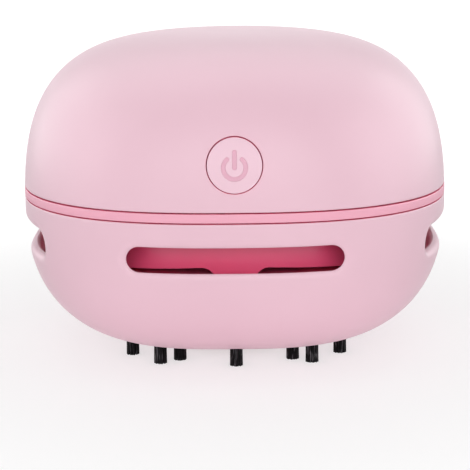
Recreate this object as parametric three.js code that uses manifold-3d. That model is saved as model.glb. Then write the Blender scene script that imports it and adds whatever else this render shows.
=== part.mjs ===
// Desktop mini vacuum cleaner: a rounded-square two-shell body that stands on a ring of bristle tufts.
// The upper body holds the button, battery, motor and fan, and unscrews from the dust bin below it.
// Millimetres, +Z up, the button faces -Y. Heights are measured from the upper seam, and the whole
// assembly is raised at the end so that the bristle tips stand at zero.
import * as THREE from 'three';
import { mergeVertices } from 'three/addons/utils/BufferGeometryUtils.js';
import Module from 'manifold-3d';

const wasm = await Module();
wasm.setup();

// Driving dimensions of the body
const body_width = 84;
const dome_height = 29.3;
const dome_sink = 6.9;
const belly_start = 3.3;
const base_depth = 31.7;
const base_cut = 0.85;
const base_thickness = 3.7;
const bristle_reach = 1.8;
const shell_wall = 2;
const gap = 0.3;
const overrun = 1;

// Roundness of the plan and of the side profile, as powers of a superellipse
const belt_power = 2.49;
const crown_power = 2;
const base_power = 3.16;
const dome_side_power = 3.5;
const dome_rise_power = 3.1;
const belly_side_power = 2.86;
const belly_fall_power = 2.51;
const belly_width_share = 0.998;

// How finely round shapes are cut
const body_sides = 36;
const drum_sides = 30;
const round_sides = 20;
const button_sides = 24;
const small_sides = 12;
const tiny_sides = 8;
const weld_tolerance = 0.0001;

// Trim band between the shells
const trim_height = 1.6;
const trim_margin = 4.1;

// Exhaust slots of the lower shell
const slot_height = 4.7;
const slot_centre_depth = 9;
const slot_front_margin = 22.3;
const slot_side_margin = 17;
const slot_lip = 1.75;
const slot_end_steps = 6;
const slot_edge_steps = 6;

// Motor deck
const deck_thickness = 2;
const deck_shaft_hole = 4;
const deck_side_clearance = 0.5;

// Power button
const button_diameter = 9.8;
const button_height = 8.6;
const button_proud = 0.35;
const button_travel = 0.8;
const button_flange_extra = 1.1;
const button_flange_thickness = 1.2;
const button_guide_depth = 5.4;
const button_guide_wall = 1.4;
const icon_diameter = 5;
const icon_stroke = 0.77;
const icon_depth = 0.4;
const icon_bar_length = 3.5;
const icon_bar_rise = 1.4;
const icon_drop = 0.4;
const icon_opening_degrees = 88;

// Switch behind the button
const plunger_radius = 1.7;
const plunger_length = 1.9;
const switch_size = 6;
const switch_thickness = 3.4;
const switch_board_width = 24;
const switch_board_height = 14;
const board_thickness = 1.2;

// Screws
const screw_head_radius = 2.3;
const screw_head_height = 1.2;
const screw_shank_radius = 1.2;
const screw_boss_radius = 2.7;
const deck_screw_margin = 2.8;
const deck_screw_reach = 10.5;
const cup_screw_margin = 3.7;
const cup_screw_reach = 6;
const motor_screw_inset = 4;
const motor_screw_head_radius = 1.8;
const motor_screw_head_height = 0.9;
const motor_screw_shank_radius = 0.9;
const boss_rib_width = 1.6;

// Fan housing
const fan_wall = 1.6;
const fan_floor_thickness = 1.4;
const fan_inlet_inset = 2.6;
const skirt_inset = 3.5;
const skirt_wall = 1.5;
const skirt_length = 5.6;
const skirt_clearance = 0.8;
const ear_thickness = 1.6;
const ear_radius = 3.4;
const window_count = 8;
const window_rise = 1.6;
const window_height = 1.4;
const window_corner = 0.4;
const window_slope = 0.4;
const window_ramp = 1.6;
const pillar_width = 8.6;

// Quick thread between the skirt and the dust cup
const thread_starts = 4;
const thread_rise_per_radian = 5;
const lug_reach = 1.5;
const lug_start_degrees = 3;
const lug_span_degrees = 18;
const ridge_span_degrees = 34;
const ridge_thickness = 1;
const ridge_rise = 1;

// Dust cup
const cup_top_clearance = 0.6;
const cup_wall = 1.2;
const cup_side_clearance = 0.3;
const cup_step_rise = 4;
const cup_flange_thickness = 1.2;
const cup_knee_inset = 2.5;
const cup_knee_rise = 1.9;
const cup_foot_inset = 2.1;
const cup_foot_rise = 0.6;
const cup_floor_inset = 1.3;
const key_post_width = 1.5;
const key_post_rise = 6.6;

// Filter
const filter_plate_thickness = 1.2;
const filter_rim_width = 1.5;
const filter_rim_height = 2.4;
const filter_hole_inset = 3;
const tongue_width = 5;
const tongue_clearance = 1.4;
const cage_inset = 13.3;
const cage_wall = 1.2;
const cage_clearance = 4.7;
const cage_ring_height = 1;
const cage_bars = 6;
const cage_bar_width = 1.6;
const mesh_wall = 0.8;
const seal_margin = 2.4;
const seal_width = 2;
const seal_height = 0.7;

// Inlet at the base
const inlet_wall = 2.2;
const inlet_flange_width = 2;
const inlet_margin = 3.2;
const inlet_flange_thickness = 1.1;
const inlet_recess = 0.1;
const inlet_rise = 1.5;

// Brush
const brush_backing_thickness = 1.2;
const brush_width = 7.2;
const brush_margin = 1.5;
const brush_power = 3;
const brush_slice_start_degrees = -6;
const brush_slice_span_degrees = 72;
const strand_spacing = 0.56;
const tuft_rings = 2;
const tuft_hole_radius = 1.9;
const tuft_hole_sides = 6;
const strand_radius = 0.25;
const strand_sides = 3;
const strand_embed = 0.5;
// Places of one quarter's tufts as shares of the brush's reach: to the right, and forwards
const axis_tuft_share = 0.9124;
const corner_tuft_shares = [0.5857, 0.8287];
const side_tuft_shares = [0.8167, 0.5697];
// A second tuft stands beside the corner one
const tuft_pair_right = 3.7;
const tuft_pair_forward = 2.3;

// Impeller and motor
const impeller_margin = 5.6;
const impeller_top_depth = 2.4;
const impeller_plate = 1;
const impeller_clearance = 1.2;
const hub_radius = 4.5;
const vane_count = 9;
const vane_thickness = 1;
const vane_inner_radius = 9;
const vane_sweep_degrees = 48;
const vane_steps = 4;
const motor_radius = 12;
const motor_headroom = 2.25;
const motor_wall = 1;
const motor_cap_thickness = 1;
const motor_cap_bore = 1.5;
const shaft_radius = 1;
const bush_radius = 2.7;
const bush_length = 2;
const magnet_thickness = 1.4;
const magnet_span_degrees = 120;
const magnet_end_gap = 0.9;
const armature_clearance = 1.4;
const armature_room = 6.6;
const armature_slot_width = 1.6;
const armature_slot_depth = 3.6;
const commutator_radius = 3.2;
const commutator_length = 2.2;
const terminal_width = 1.6;
const terminal_thickness = 0.8;
const terminal_height = 1.6;
const terminal_inset = 6;

// Battery and its tray
const battery_margin = 22;
const battery_width = 30;
const battery_thickness = 5;
const battery_corner = 2;
const tray_margin = 2;
const tray_thickness = 1;
const tray_rim_height = 1.5;
const tray_rim_width = 1.2;
const tray_leg = 3;
const foam_end_inset = 6;
const foam_side_inset = 5;
const foam_thickness = 1.6;
const crown_clearance = 1.4;

// Charging socket and its board
const charge_board_width = 24;
const charge_board_length = 17;
const charge_board_margin = 4;
const usb_width = 9;
const usb_height = 3.2;
const usb_length = 7.3;
const usb_wall = 0.35;
const usb_recess = 1;
const tongue_plate_width = 6.6;
const tongue_plate_thickness = 0.7;
const led_offset = 8.5;
const led_radius = 0.9;
const led_base = 2.2;
const led_base_length = 2;

// Wires
const wire_radius = 0.6;
const wire_sides = 3;
const wire_steps = 9;

// Turns, in degrees
const full_turn = 360;
const quarter_turn = full_turn / 4;

// Heights of the lower body, from its base up
const stand_height = base_depth + bristle_reach;
const belly_depth = base_depth - belly_start + base_cut;
const brush_floor_depth = base_depth - base_thickness;
const backing_low = -brush_floor_depth + gap;
const backing_high = backing_low + brush_backing_thickness;
const cup_underside = backing_high + gap;
const cup_floor_depth = -cup_underside - cup_wall;
const cup_foot_depth = cup_floor_depth - cup_foot_rise;
const cup_knee_depth = cup_floor_depth - cup_knee_rise;
const cup_step_depth = cup_floor_depth - cup_step_rise;
const key_post_top_depth = cup_floor_depth - key_post_rise;
const inlet_rise_depth = cup_floor_depth - inlet_rise;
const tongue_depth = cup_floor_depth - tongue_clearance;
const cage_depth = cup_floor_depth - cage_clearance;
const skirt_depth = cup_step_depth - skirt_clearance;
const ridge_start_depth = skirt_depth - ridge_rise;
const fan_floor_depth = skirt_depth - skirt_length - fan_floor_thickness;
const fan_underside = -fan_floor_depth - fan_floor_thickness;
const window_top_depth = fan_floor_depth - window_rise;
const impeller_bottom_depth = fan_floor_depth - impeller_clearance;
const cup_top_depth = cup_top_clearance - fan_underside;
const filter_top = fan_underside - gap * 5 / 3;

// Heights at the seams and above the deck, and from the crown down
const seam_half_gap = gap / 2;
const trim_top = -seam_half_gap;
const trim_bottom = trim_top - trim_height;
const rim_top = trim_bottom - gap;
const deck_bottom = seam_half_gap;
const deck_top = deck_bottom + deck_thickness;
const seat_above_deck = deck_top + gap;
const foam_low = dome_height - shell_wall - crown_clearance - foam_thickness;
const battery_low = foam_low - gap - battery_thickness;
const tray_top = battery_low - gap;
const tray_underside = tray_top - tray_thickness;
const motor_base = seat_above_deck;
const motor_top = tray_underside - motor_headroom;

// Widths, from the shell inwards
const half_width = body_width / 2;
const slot_front_length = body_width - slot_front_margin * 2;
const slot_side_length = body_width - slot_side_margin * 2;
const battery_length = body_width - battery_margin * 2;
const cup_room = belly_point(belly_angle(cup_step_depth + cup_wall / 2, shell_wall), shell_wall).half;
const cup_outer = cup_room - cup_side_clearance;
const cup_bore = cup_outer - cup_wall;
const lug_radius = cup_bore - gap;
const skirt_radius = lug_radius - lug_reach;
const skirt_inner = skirt_radius - skirt_wall;
const ridge_inner = skirt_radius + gap;
const fan_wall_radius = skirt_radius + skirt_inset;
const deck_screw_circle = fan_wall_radius + deck_screw_margin;
const impeller_radius = fan_wall_radius - fan_wall - impeller_margin;
const cup_screw_circle = cup_outer + cup_screw_margin;
const cup_knee_radius = cup_bore - cup_knee_inset;
const cup_foot_radius = cup_knee_radius - cup_foot_inset;
const cup_floor_radius = cup_foot_radius - cup_floor_inset;
const brush_outer = cup_floor_radius - brush_margin;
const brush_inner = brush_outer - brush_width;
const inlet_flange_radius = brush_inner - inlet_margin;
const inlet_tube_radius = inlet_flange_radius - inlet_flange_width;
const inlet_bore_radius = inlet_tube_radius - inlet_wall;
const filter_radius = skirt_inner - gap;
const cage_radius = filter_radius - cage_inset;
const filter_hole_radius = cage_radius - filter_hole_inset;
const seal_radius = cage_radius + seal_margin;
const fan_inlet_radius = filter_hole_radius - fan_inlet_inset;
const motor_screw_offset = motor_radius - motor_screw_inset;
const terminal_offset = motor_radius - terminal_inset;
const button_radius = button_diameter / 2;
const button_hole = button_radius + gap;
const flange_radius = button_radius + button_flange_extra;
const shank_hole = screw_shank_radius + gap;

// Turns degrees into radians
function radians(degrees) {
  return THREE.MathUtils.degToRad(degrees);
}

// One point of the dome's side profile: its half width, height and plan power
function dome_point(angle, inset) {
  const t = Math.sin(angle) ** (2 / dome_rise_power);
  return {
    half: (half_width - inset) * Math.max(Math.cos(angle), 0) ** (2 / dome_side_power),
    z: -dome_sink + (dome_height + dome_sink - inset) * t,
    power: belt_power + (crown_power - belt_power) * t * t,
  };
}

// The dome's profile angle at a height above the seam
function dome_angle(z, inset) {
  const t = (z + dome_sink) / (dome_height + dome_sink - inset);
  return Math.asin(Math.min(t, 1) ** (dome_rise_power / 2));
}

// One point of the belly's side profile, going down
function belly_point(angle, inset) {
  const t = Math.sin(angle) ** (2 / belly_fall_power);
  return {
    half: (half_width * belly_width_share - inset) * Math.cos(angle) ** (2 / belly_side_power),
    z: -belly_start - (belly_depth - inset) * t,
    power: belt_power + (base_power - belt_power) * t * t,
  };
}

// The belly's profile angle at a depth below the seam
function belly_angle(depth, inset) {
  const t = Math.max(depth - belly_start, 0) / (belly_depth - inset);
  return Math.asin(Math.min(t, 1) ** (belly_fall_power / 2));
}

// How far a rounded-square plan reaches at an angle from +X
function plan_radius(half, power, angle) {
  const across = Math.abs(Math.cos(angle)) ** power + Math.abs(Math.sin(angle)) ** power;
  return half / across ** (1 / power);
}

// One level of a rounded-square form
function level({ half, power, z }) {
  return Array.from({ length: body_sides }, (_, i) => {
    const angle = (i / body_sides) * 2 * Math.PI;
    const reach = plan_radius(half, power, angle);
    return new THREE.Vector3(reach * Math.cos(angle), reach * Math.sin(angle), z);
  });
}

// A surface through rings of points, with its two ends capped
function loft(rings) {
  const count = rings[0].length;
  const points = rings.flat();
  const index = [];
  for (let i = 0; i + 1 < rings.length; i += 1) {
    for (let j = 0; j < count; j += 1) {
      const next = (j + 1) % count;
      const [a, b] = [i * count + j, i * count + next];
      const [c, d] = [b + count, a + count];
      index.push(a, b, c, a, c, d);
    }
  }
  const middle = (ring) => ring.reduce((sum, p) => sum.add(p), new THREE.Vector3()).divideScalar(count);
  const first = points.length;
  points.push(middle(rings[0]), middle(rings[rings.length - 1]));
  const last_ring = (rings.length - 1) * count;
  for (let j = 0; j < count; j += 1) {
    const next = (j + 1) % count;
    index.push(first, next, j, first + 1, last_ring + j, last_ring + next);
  }
  const geometry = new THREE.BufferGeometry().setFromPoints(points);
  geometry.setIndex(index);
  return geometry;
}

// A closed mesh as a solid that can be joined and cut
function solid(geometry) {
  const bare = new THREE.BufferGeometry();
  bare.setAttribute('position', geometry.getAttribute('position'));
  bare.setIndex(geometry.index);
  const welded = mergeVertices(bare, weld_tolerance);
  const places = welded.getAttribute('position');
  const corners = [0, 1, 2].map(() => new THREE.Vector3());
  const faces = [];
  let volume = 0;
  for (let i = 0; i < welded.index.count; i += 3) {
    const face = [0, 1, 2].map((k) => welded.index.getX(i + k));
    if (new Set(face).size === face.length) {
      corners.forEach((corner, k) => corner.fromBufferAttribute(places, face[k]));
      volume += corners[0].dot(corners[1].clone().cross(corners[2]));
      faces.push(face);
    }
  }
  const outward = volume < 0 ? faces.map((face) => face.toReversed()) : faces;
  return new wasm.Manifold(new wasm.Mesh({
    numProp: 3,
    vertProperties: new Float32Array(places.array),
    triVerts: new Uint32Array(outward.flat()),
  }));
}

// A solid back as a three.js geometry
function shape_of(body) {
  const mesh = body.getMesh();
  const geometry = new THREE.BufferGeometry();
  geometry.setAttribute('position', new THREE.BufferAttribute(mesh.vertProperties, mesh.numProp));
  geometry.setIndex(new THREE.BufferAttribute(mesh.triVerts, 1));
  geometry.computeVertexNormals();
  return geometry;
}

// Joins, cuts and overlaps lists of geometries
function join(first, ...others) {
  return others.reduce((sum, other) => sum.add(other), first);
}

function cut(first, ...others) {
  return others.reduce((rest, other) => rest.subtract(other), first);
}

// A solid of revolution about Z from a closed outline of [radius, height] points
function turned(outline, sides = round_sides) {
  const points = [...outline, outline[0]].map(([radius, z]) => new THREE.Vector2(radius, z));
  const geometry = new THREE.LatheGeometry(points, sides);
  geometry.rotateX(Math.PI / 2);
  return solid(geometry);
}

// A flat ring or tube about Z
function tube(inner, outer, low, high, sides = round_sides) {
  return turned([[inner, low], [outer, low], [outer, high], [inner, high]], sides);
}

// A rod along Z at a place
function rod(radius, low, high, x = 0, y = 0, sides = small_sides) {
  const geometry = new THREE.CylinderGeometry(radius, radius, high - low, sides);
  geometry.rotateX(Math.PI / 2);
  geometry.translate(x, y, (low + high) / 2);
  return solid(geometry);
}

// A rod along Y between two places
function rod_y(radius, front, back, x, z, sides = round_sides) {
  const geometry = new THREE.CylinderGeometry(radius, radius, back - front, sides);
  geometry.translate(x, (front + back) / 2, z);
  return solid(geometry);
}

// A block between two corners
function block(low, high) {
  const size = high.map((value, i) => value - low[i]);
  const geometry = new THREE.BoxGeometry(...size);
  geometry.translate(...high.map((value, i) => (value + low[i]) / 2));
  return solid(geometry);
}

// Turns a solid about Z
function turn(geometry, degrees) {
  return solid(shape_of(geometry).rotateZ(radians(degrees)));
}

// Moves a shape drawn in X and Y, and pushed along Z, so that it faces out at an angle from +X
function facing(geometry, angle) {
  const out = new THREE.Vector3(Math.cos(angle), Math.sin(angle), 0);
  const up = new THREE.Vector3(0, 0, 1);
  const along = up.clone().cross(out);
  geometry.applyMatrix4(new THREE.Matrix4().makeBasis(along, up, out));
  return geometry;
}

// A rectangle with round corners, about a centre
function round_rectangle(width, height, corner, x = 0, y = 0) {
  const [right, top] = [width / 2 - corner, height / 2 - corner];
  const shape = new THREE.Shape();
  shape.absarc(x + right, y + top, corner, 0, Math.PI / 2);
  shape.absarc(x - right, y + top, corner, Math.PI / 2, Math.PI);
  shape.absarc(x - right, y - top, corner, Math.PI, Math.PI * 1.5);
  shape.absarc(x + right, y - top, corner, Math.PI * 1.5, Math.PI * 2);
  shape.closePath();
  return shape;
}

// A shape pushed along +Z
function pushed(shape, depth, curveSegments = 1) {
  return new THREE.ExtrudeGeometry(shape, { depth, bevelEnabled: false, curveSegments });
}

// A bar that follows an arc about Z; its section at each angle comes from a function
function arc_bar(from, to, steps, section) {
  const rings = Array.from({ length: steps + 1 }, (_, i) => {
    const degrees = from + ((to - from) * i) / steps;
    const angle = radians(degrees);
    const { inner, outer, low, high } = section(degrees);
    const corners = [[inner, low], [outer, low], [outer, high], [inner, high]];
    return corners.map(([r, z]) => new THREE.Vector3(r * Math.cos(angle), r * Math.sin(angle), z));
  });
  return solid(loft(rings));
}

// The solid inside of the dome, from a height above the seam to the crown
function dome_form(start, inset, steps) {
  const first = dome_angle(start, inset);
  const rings = Array.from({ length: steps + 1 }, (_, i) => (
    level(dome_point(first + ((Math.PI / 2 - first) * i) / steps, inset))
  ));
  return solid(loft(rings));
}

// The solid inside of the belly, from a start height down to a depth
function belly_form(start, depth, inset, steps) {
  const last = belly_angle(depth, inset);
  const top = { ...belly_point(0, inset), z: start };
  const rings = Array.from({ length: steps + 1 }, (_, i) => level(belly_point((last * i) / steps, inset)));
  return solid(loft([level(top), ...rings]));
}

// How far the belly reaches towards one flat side, at a place along it and a height
function belly_reach(along, z) {
  const { half, power } = belly_point(belly_angle(-z, 0), 0);
  return half * Math.max(1 - (Math.abs(along) / half) ** power, 0) ** (1 / power);
}

// The four corner places of a screw circle
function corner_places(circle) {
  return [45, 135, 225, 315].map((degrees) => (
    [circle * Math.cos(radians(degrees)), circle * Math.sin(radians(degrees)), degrees]
  ));
}

// Top shell with its button guide, screw bosses and rear port
const dome_steps = 8;
const inner_steps = 5;
const usb_centre = deck_top + gap + board_thickness + gap + usb_height / 2;
const guide_back = -half_width + button_guide_depth;
const boss_top = seat_above_deck + deck_screw_reach - gap;

function top_shell() {
  const hull = dome_form(seam_half_gap, 0, dome_steps);
  const keep = dome_form(seat_above_deck, shell_wall / 2, inner_steps);
  const hollow = dome_form(-overrun, shell_wall, inner_steps);
  const guide = rod_y(button_hole + button_guide_wall, -half_width, guide_back, 0, button_height, button_sides);
  const bosses = corner_places(deck_screw_circle).map(([x, y, degrees]) => {
    const reach = [deck_screw_circle, -boss_rib_width / 2, seat_above_deck];
    const end = [half_width + overrun * 2, boss_rib_width / 2, boss_top];
    return rod(screw_boss_radius, seat_above_deck, boss_top, x, y).add(turn(block(reach, end), degrees));
  });
  const pilots = corner_places(deck_screw_circle).map(([x, y]) => (
    rod(shank_hole, -overrun, boss_top - overrun, x, y, tiny_sides)
  ));
  const inside = join(guide, ...bosses).intersect(keep);
  const usb_hole = facing(pushed(
    round_rectangle(usb_width + gap * 2, usb_height + gap * 2, usb_height / 2 + gap - weld_tolerance, 0, usb_centre),
    shell_wall * 4,
    2,
  ), Math.PI / 2);
  usb_hole.translate(0, half_width - shell_wall * 3, 0);
  return cut(
    hull.subtract(hollow).add(inside),
    rod_y(button_hole, -half_width - overrun, guide_back + overrun, 0, button_height, button_sides),
    solid(usb_hole),
    rod_y(led_radius + gap, half_width - shell_wall * 3, half_width + overrun, led_offset, usb_centre, small_sides),
    ...pilots,
  );
}

// Trim band, flush with both shells
function trim_ring() {
  const rim = dome_point(dome_angle(0, 0), 0);
  const ring = (half, z) => level({ half, power: belt_power, z });
  const outer = solid(loft([ring(rim.half, trim_bottom), ring(rim.half, trim_top)]));
  const bore = fan_wall_radius + trim_margin;
  return outer.subtract(solid(loft([ring(bore, trim_bottom - overrun), ring(bore, trim_top + overrun)])));
}

// Motor deck: the floor of the upper shell
function motor_deck() {
  const edge = dome_point(dome_angle(deck_top, shell_wall), shell_wall);
  const ring = (z) => level({ half: edge.half - deck_side_clearance, power: edge.power, z });
  return cut(
    solid(loft([ring(deck_bottom), ring(deck_top)])),
    rod(deck_shaft_hole, deck_bottom - overrun, deck_top + overrun),
    ...corner_places(deck_screw_circle).map(([x, y]) => (
      rod(shank_hole, deck_bottom - overrun, deck_top + overrun, x, y, tiny_sides)
    )),
    ...[-1, 1].map((side) => rod(
      motor_screw_shank_radius + gap,
      deck_bottom - overrun,
      deck_top + overrun,
      side * motor_screw_offset,
      0,
      tiny_sides,
    )),
  );
}

// Outline of one air window: its top falls a little away from the pillar and rolls down to it
function window_shape(width, side) {
  const high = -window_top_depth;
  const low = high - window_height;
  const [pillar, far] = [-side * width / 2, side * width / 2];
  const shape = new THREE.Shape();
  shape.moveTo(pillar, low);
  shape.quadraticCurveTo(pillar + side * window_ramp / 3, high, pillar + side * window_ramp, high);
  shape.lineTo(far - side * window_corner, high - window_slope);
  shape.lineTo(far, high - window_slope - window_corner);
  shape.lineTo(far, low);
  shape.closePath();
  return shape;
}

// Fan housing: the wall behind the slots with its air windows, the fan's floor, and the threaded skirt
function lug_top(degrees) {
  return -ridge_start_depth + thread_rise_per_radian * radians(degrees) - gap;
}

function fan_housing() {
  const body = turned([
    [fan_inlet_radius, fan_underside], [skirt_inner, fan_underside], [skirt_inner, -skirt_depth],
    [skirt_radius, -skirt_depth], [skirt_radius, fan_underside], [fan_wall_radius, fan_underside],
    [fan_wall_radius, trim_top], [fan_wall_radius - fan_wall, trim_top],
    [fan_wall_radius - fan_wall, -fan_floor_depth], [fan_inlet_radius, -fan_floor_depth],
  ], drum_sides);
  const ears = corner_places(deck_screw_circle).map(([x, y]) => (
    rod(ear_radius, trim_top - ear_thickness, trim_top, x, y, tiny_sides)
  ));
  const ear_holes = corner_places(deck_screw_circle).map(([x, y]) => (
    rod(shank_hole, trim_top - ear_thickness - overrun, trim_top + overrun, x, y, tiny_sides)
  ));
  const pitch = (2 * Math.PI) / window_count;
  const width = 2 * fan_wall_radius * Math.sin(pitch / 2) - pillar_width;
  const windows = Array.from({ length: window_count }, (_, i) => {
    const shape = pushed(window_shape(width, i % 2 ? -1 : 1), fan_wall * 4, 3);
    shape.translate(0, 0, fan_wall_radius - fan_wall * 3);
    return solid(facing(shape, (i + 0.5) * pitch));
  });
  const lugs = Array.from({ length: thread_starts }, (_, i) => {
    const base = (i * full_turn) / thread_starts;
    return arc_bar(base + lug_start_degrees, base + lug_start_degrees + lug_span_degrees, 4, (degrees) => ({
      inner: skirt_radius - skirt_wall / 2,
      outer: lug_radius,
      low: -skirt_depth,
      high: lug_top(degrees - base),
    }));
  });
  const inside_ears = join(...ears).subtract(rod(fan_wall_radius - fan_wall / 2, trim_bottom - overrun, overrun));
  return cut(join(body, inside_ears, ...lugs), ...windows, ...ear_holes);
}

// Power button: a cap that follows the dome, with a flange that holds it in the guide
const flange_front = guide_back + gap;
const flange_back = flange_front + button_flange_thickness;

function power_icon() {
  const outer = icon_diameter / 2;
  const inner = outer - icon_stroke;
  const middle = (outer + inner) / 2;
  const half_open = radians(icon_opening_degrees) / 2;
  const shape = new THREE.Shape();
  const [start, end] = [Math.PI / 2 + half_open, Math.PI * 2.5 - half_open];
  shape.absarc(0, 0, outer, start, end);
  shape.absarc(middle * Math.cos(end), middle * Math.sin(end), icon_stroke / 2, end, end + Math.PI);
  shape.absarc(0, 0, inner, end, start, true);
  shape.absarc(middle * Math.cos(start), middle * Math.sin(start), icon_stroke / 2, start + Math.PI, start + Math.PI * 2);
  shape.closePath();
  const bar = round_rectangle(icon_stroke, icon_bar_length, icon_stroke / 2 - weld_tolerance, 0, icon_bar_rise);
  return [pushed(shape, button_guide_depth, 7), pushed(bar, button_guide_depth, 2)].map((sign) => {
    sign.translate(0, button_height - icon_drop, 0);
    return facing(sign, -Math.PI / 2);
  });
}

function power_button() {
  const skin = dome_form(seam_half_gap, -button_proud, dome_steps);
  const sunk = dome_form(seam_half_gap, icon_depth - button_proud, dome_steps);
  const cap = rod_y(button_radius, -half_width - overrun, flange_front + weld_tolerance, 0, button_height, button_sides);
  const flange = rod_y(flange_radius, flange_front, flange_back, 0, button_height, button_sides);
  const signs = power_icon().map((sign) => solid(sign.translate(0, -half_width + button_guide_depth / 2, 0)));
  return join(cap.intersect(skin), flange).subtract(join(...signs).subtract(sunk));
}

// Switch parts behind the button
const plunger_front = flange_back + gap;
const plunger_back = plunger_front + plunger_length;
const switch_front = plunger_back - gap;
const switch_back = switch_front + switch_thickness;
const board_front = switch_back + gap;
const board_back = board_front + board_thickness;

function tact_switch() {
  const half = switch_size / 2;
  return cut(
    block([-half, switch_front, button_height - half], [half, switch_back, button_height + half]),
    rod_y(
      plunger_radius + gap,
      switch_front - overrun,
      plunger_back + button_travel + gap,
      0,
      button_height,
      small_sides,
    ),
  );
}

function switch_board() {
  const half = switch_board_width / 2;
  const top = seat_above_deck + switch_board_height;
  return block([-half, board_front, seat_above_deck], [half, board_back, top]);
}

// Screw with a flat head, its head below and its shank upwards from a seat height
function screw(x, y, seat, reach, head_radius, head_height, shank_radius) {
  const geometry = shape_of(turned([
    [0, seat - head_height], [head_radius, seat - head_height], [head_radius, seat],
    [shank_radius, seat], [shank_radius, seat + reach], [0, seat + reach],
  ], tiny_sides));
  geometry.translate(x, y, 0);
  return solid(geometry);
}

// Screw whose head is on top and whose shank goes down
function screw_down(x, y, seat, reach) {
  const geometry = shape_of(turned([
    [0, seat + screw_head_height], [screw_head_radius, seat + screw_head_height], [screw_head_radius, seat],
    [screw_shank_radius, seat], [screw_shank_radius, seat - reach], [0, seat - reach],
  ], tiny_sides));
  geometry.translate(x, y, 0);
  return solid(geometry);
}

// Motor: can, cap, bush, magnets, terminals, and the rotor with its shaft
const can_floor = motor_base + motor_wall;
const cap_low = motor_top - gap - motor_cap_thickness;
const magnet_radius = motor_radius - motor_wall - gap;
const armature_radius = magnet_radius - magnet_thickness - armature_clearance;
const armature_low = can_floor + magnet_end_gap;
const armature_length = motor_top - motor_base - armature_room;
const bush_low = can_floor + gap - bush_length;

function motor_can() {
  const bore = motor_radius - motor_wall;
  return cut(
    turned([
      [bush_radius + gap, motor_base], [motor_radius, motor_base], [motor_radius, motor_top],
      [bore, motor_top], [bore, can_floor], [bush_radius + gap, can_floor],
    ]),
    ...[-1, 1].map((side) => rod(
      motor_screw_shank_radius + gap,
      motor_base - overrun,
      can_floor + overrun,
      side * motor_screw_offset,
      0,
      tiny_sides,
    )),
  );
}

function motor_cap() {
  return tube(motor_cap_bore, motor_radius - motor_wall - gap, cap_low, cap_low + motor_cap_thickness);
}

function magnet(middle) {
  return arc_bar(middle - magnet_span_degrees / 2, middle + magnet_span_degrees / 2, 10, () => ({
    inner: magnet_radius - magnet_thickness,
    outer: magnet_radius,
    low: can_floor + magnet_end_gap,
    high: cap_low - magnet_end_gap,
  }));
}

function terminal(side) {
  const low = cap_low + motor_cap_thickness + gap;
  const x = side * terminal_offset;
  return block(
    [x - terminal_width / 2, -terminal_thickness / 2, low],
    [x + terminal_width / 2, terminal_thickness / 2, low + terminal_height],
  );
}

function armature() {
  const high = armature_low + armature_length;
  const slots = [30, 150, 270].map((degrees) => turn(block(
    [armature_radius - armature_slot_depth, -armature_slot_width / 2, armature_low - overrun],
    [armature_radius + overrun, armature_slot_width / 2, high + overrun],
  ), degrees));
  return cut(tube(shaft_radius + gap, armature_radius, armature_low, high), ...slots);
}

function commutator() {
  const low = armature_low + armature_length + gap;
  return tube(shaft_radius + gap, commutator_radius, low, low + commutator_length, small_sides);
}

function impeller() {
  const plate_low = -impeller_top_depth - impeller_plate;
  const hub = turned([
    [shaft_radius + gap, -impeller_bottom_depth], [hub_radius, -impeller_bottom_depth],
    [hub_radius, plate_low], [impeller_radius, plate_low], [impeller_radius, -impeller_top_depth],
    [shaft_radius + gap, -impeller_top_depth],
  ]);
  const vanes = Array.from({ length: vane_count }, (_, i) => {
    const side = (offset) => Array.from({ length: vane_steps + 1 }, (__, k) => {
      const share = k / vane_steps;
      const r = vane_inner_radius + (impeller_radius - vane_inner_radius) * share;
      const angle = (i / vane_count) * 2 * Math.PI - radians(vane_sweep_degrees) * share;
      const aside = angle + Math.PI / 2;
      return new THREE.Vector2(
        r * Math.cos(angle) + offset * Math.cos(aside),
        r * Math.sin(angle) + offset * Math.sin(aside),
      );
    });
    const outline = [...side(-vane_thickness / 2), ...side(vane_thickness / 2).reverse()];
    const vane = pushed(new THREE.Shape(outline), impeller_bottom_depth + plate_low + impeller_plate / 2);
    return solid(vane.translate(0, 0, -impeller_bottom_depth));
  });
  return join(hub, ...vanes).intersect(rod(
    impeller_radius,
    -impeller_bottom_depth,
    -impeller_top_depth,
    0,
    0,
    round_sides,
  ));
}

// Battery, its tray and the foam above it
function battery_tray() {
  const half_x = battery_length / 2 + tray_margin;
  const half_y = battery_width / 2 + tray_margin;
  const plate = block([-half_x, -half_y, tray_underside], [half_x, half_y, tray_top]);
  const rims = [-1, 1].map((side) => {
    const [a, b] = [side * half_x, side * (half_x - tray_rim_width)];
    return block([Math.min(a, b), -half_y, tray_underside], [Math.max(a, b), half_y, tray_top + tray_rim_height]);
  });
  const legs = [[-1, -1], [-1, 1], [1, -1], [1, 1]].map(([sx, sy]) => {
    const [x, y] = [sx * (half_x - tray_leg), sy * (half_y - tray_leg)];
    return block(
      [x - tray_leg / 2, y - tray_leg / 2, seat_above_deck],
      [x + tray_leg / 2, y + tray_leg / 2, tray_underside + tray_thickness / 2],
    );
  });
  return join(plate, ...rims, ...legs);
}

function battery_cell() {
  const outline = round_rectangle(battery_length, battery_width, battery_corner);
  return solid(pushed(outline, battery_thickness).translate(0, 0, battery_low));
}

function battery_foam() {
  const half_x = battery_length / 2 - foam_end_inset;
  const half_y = battery_width / 2 - foam_side_inset;
  return block([-half_x, -half_y, foam_low], [half_x, half_y, foam_low + foam_thickness]);
}

// Charging socket, its board and light
const usb_mouth = half_width - usb_recess;
const usb_back = usb_mouth - usb_length;
const board_top = seat_above_deck + board_thickness;
const charge_board_end = half_width - charge_board_margin;
const charge_board_front = charge_board_end - charge_board_length;

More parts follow.
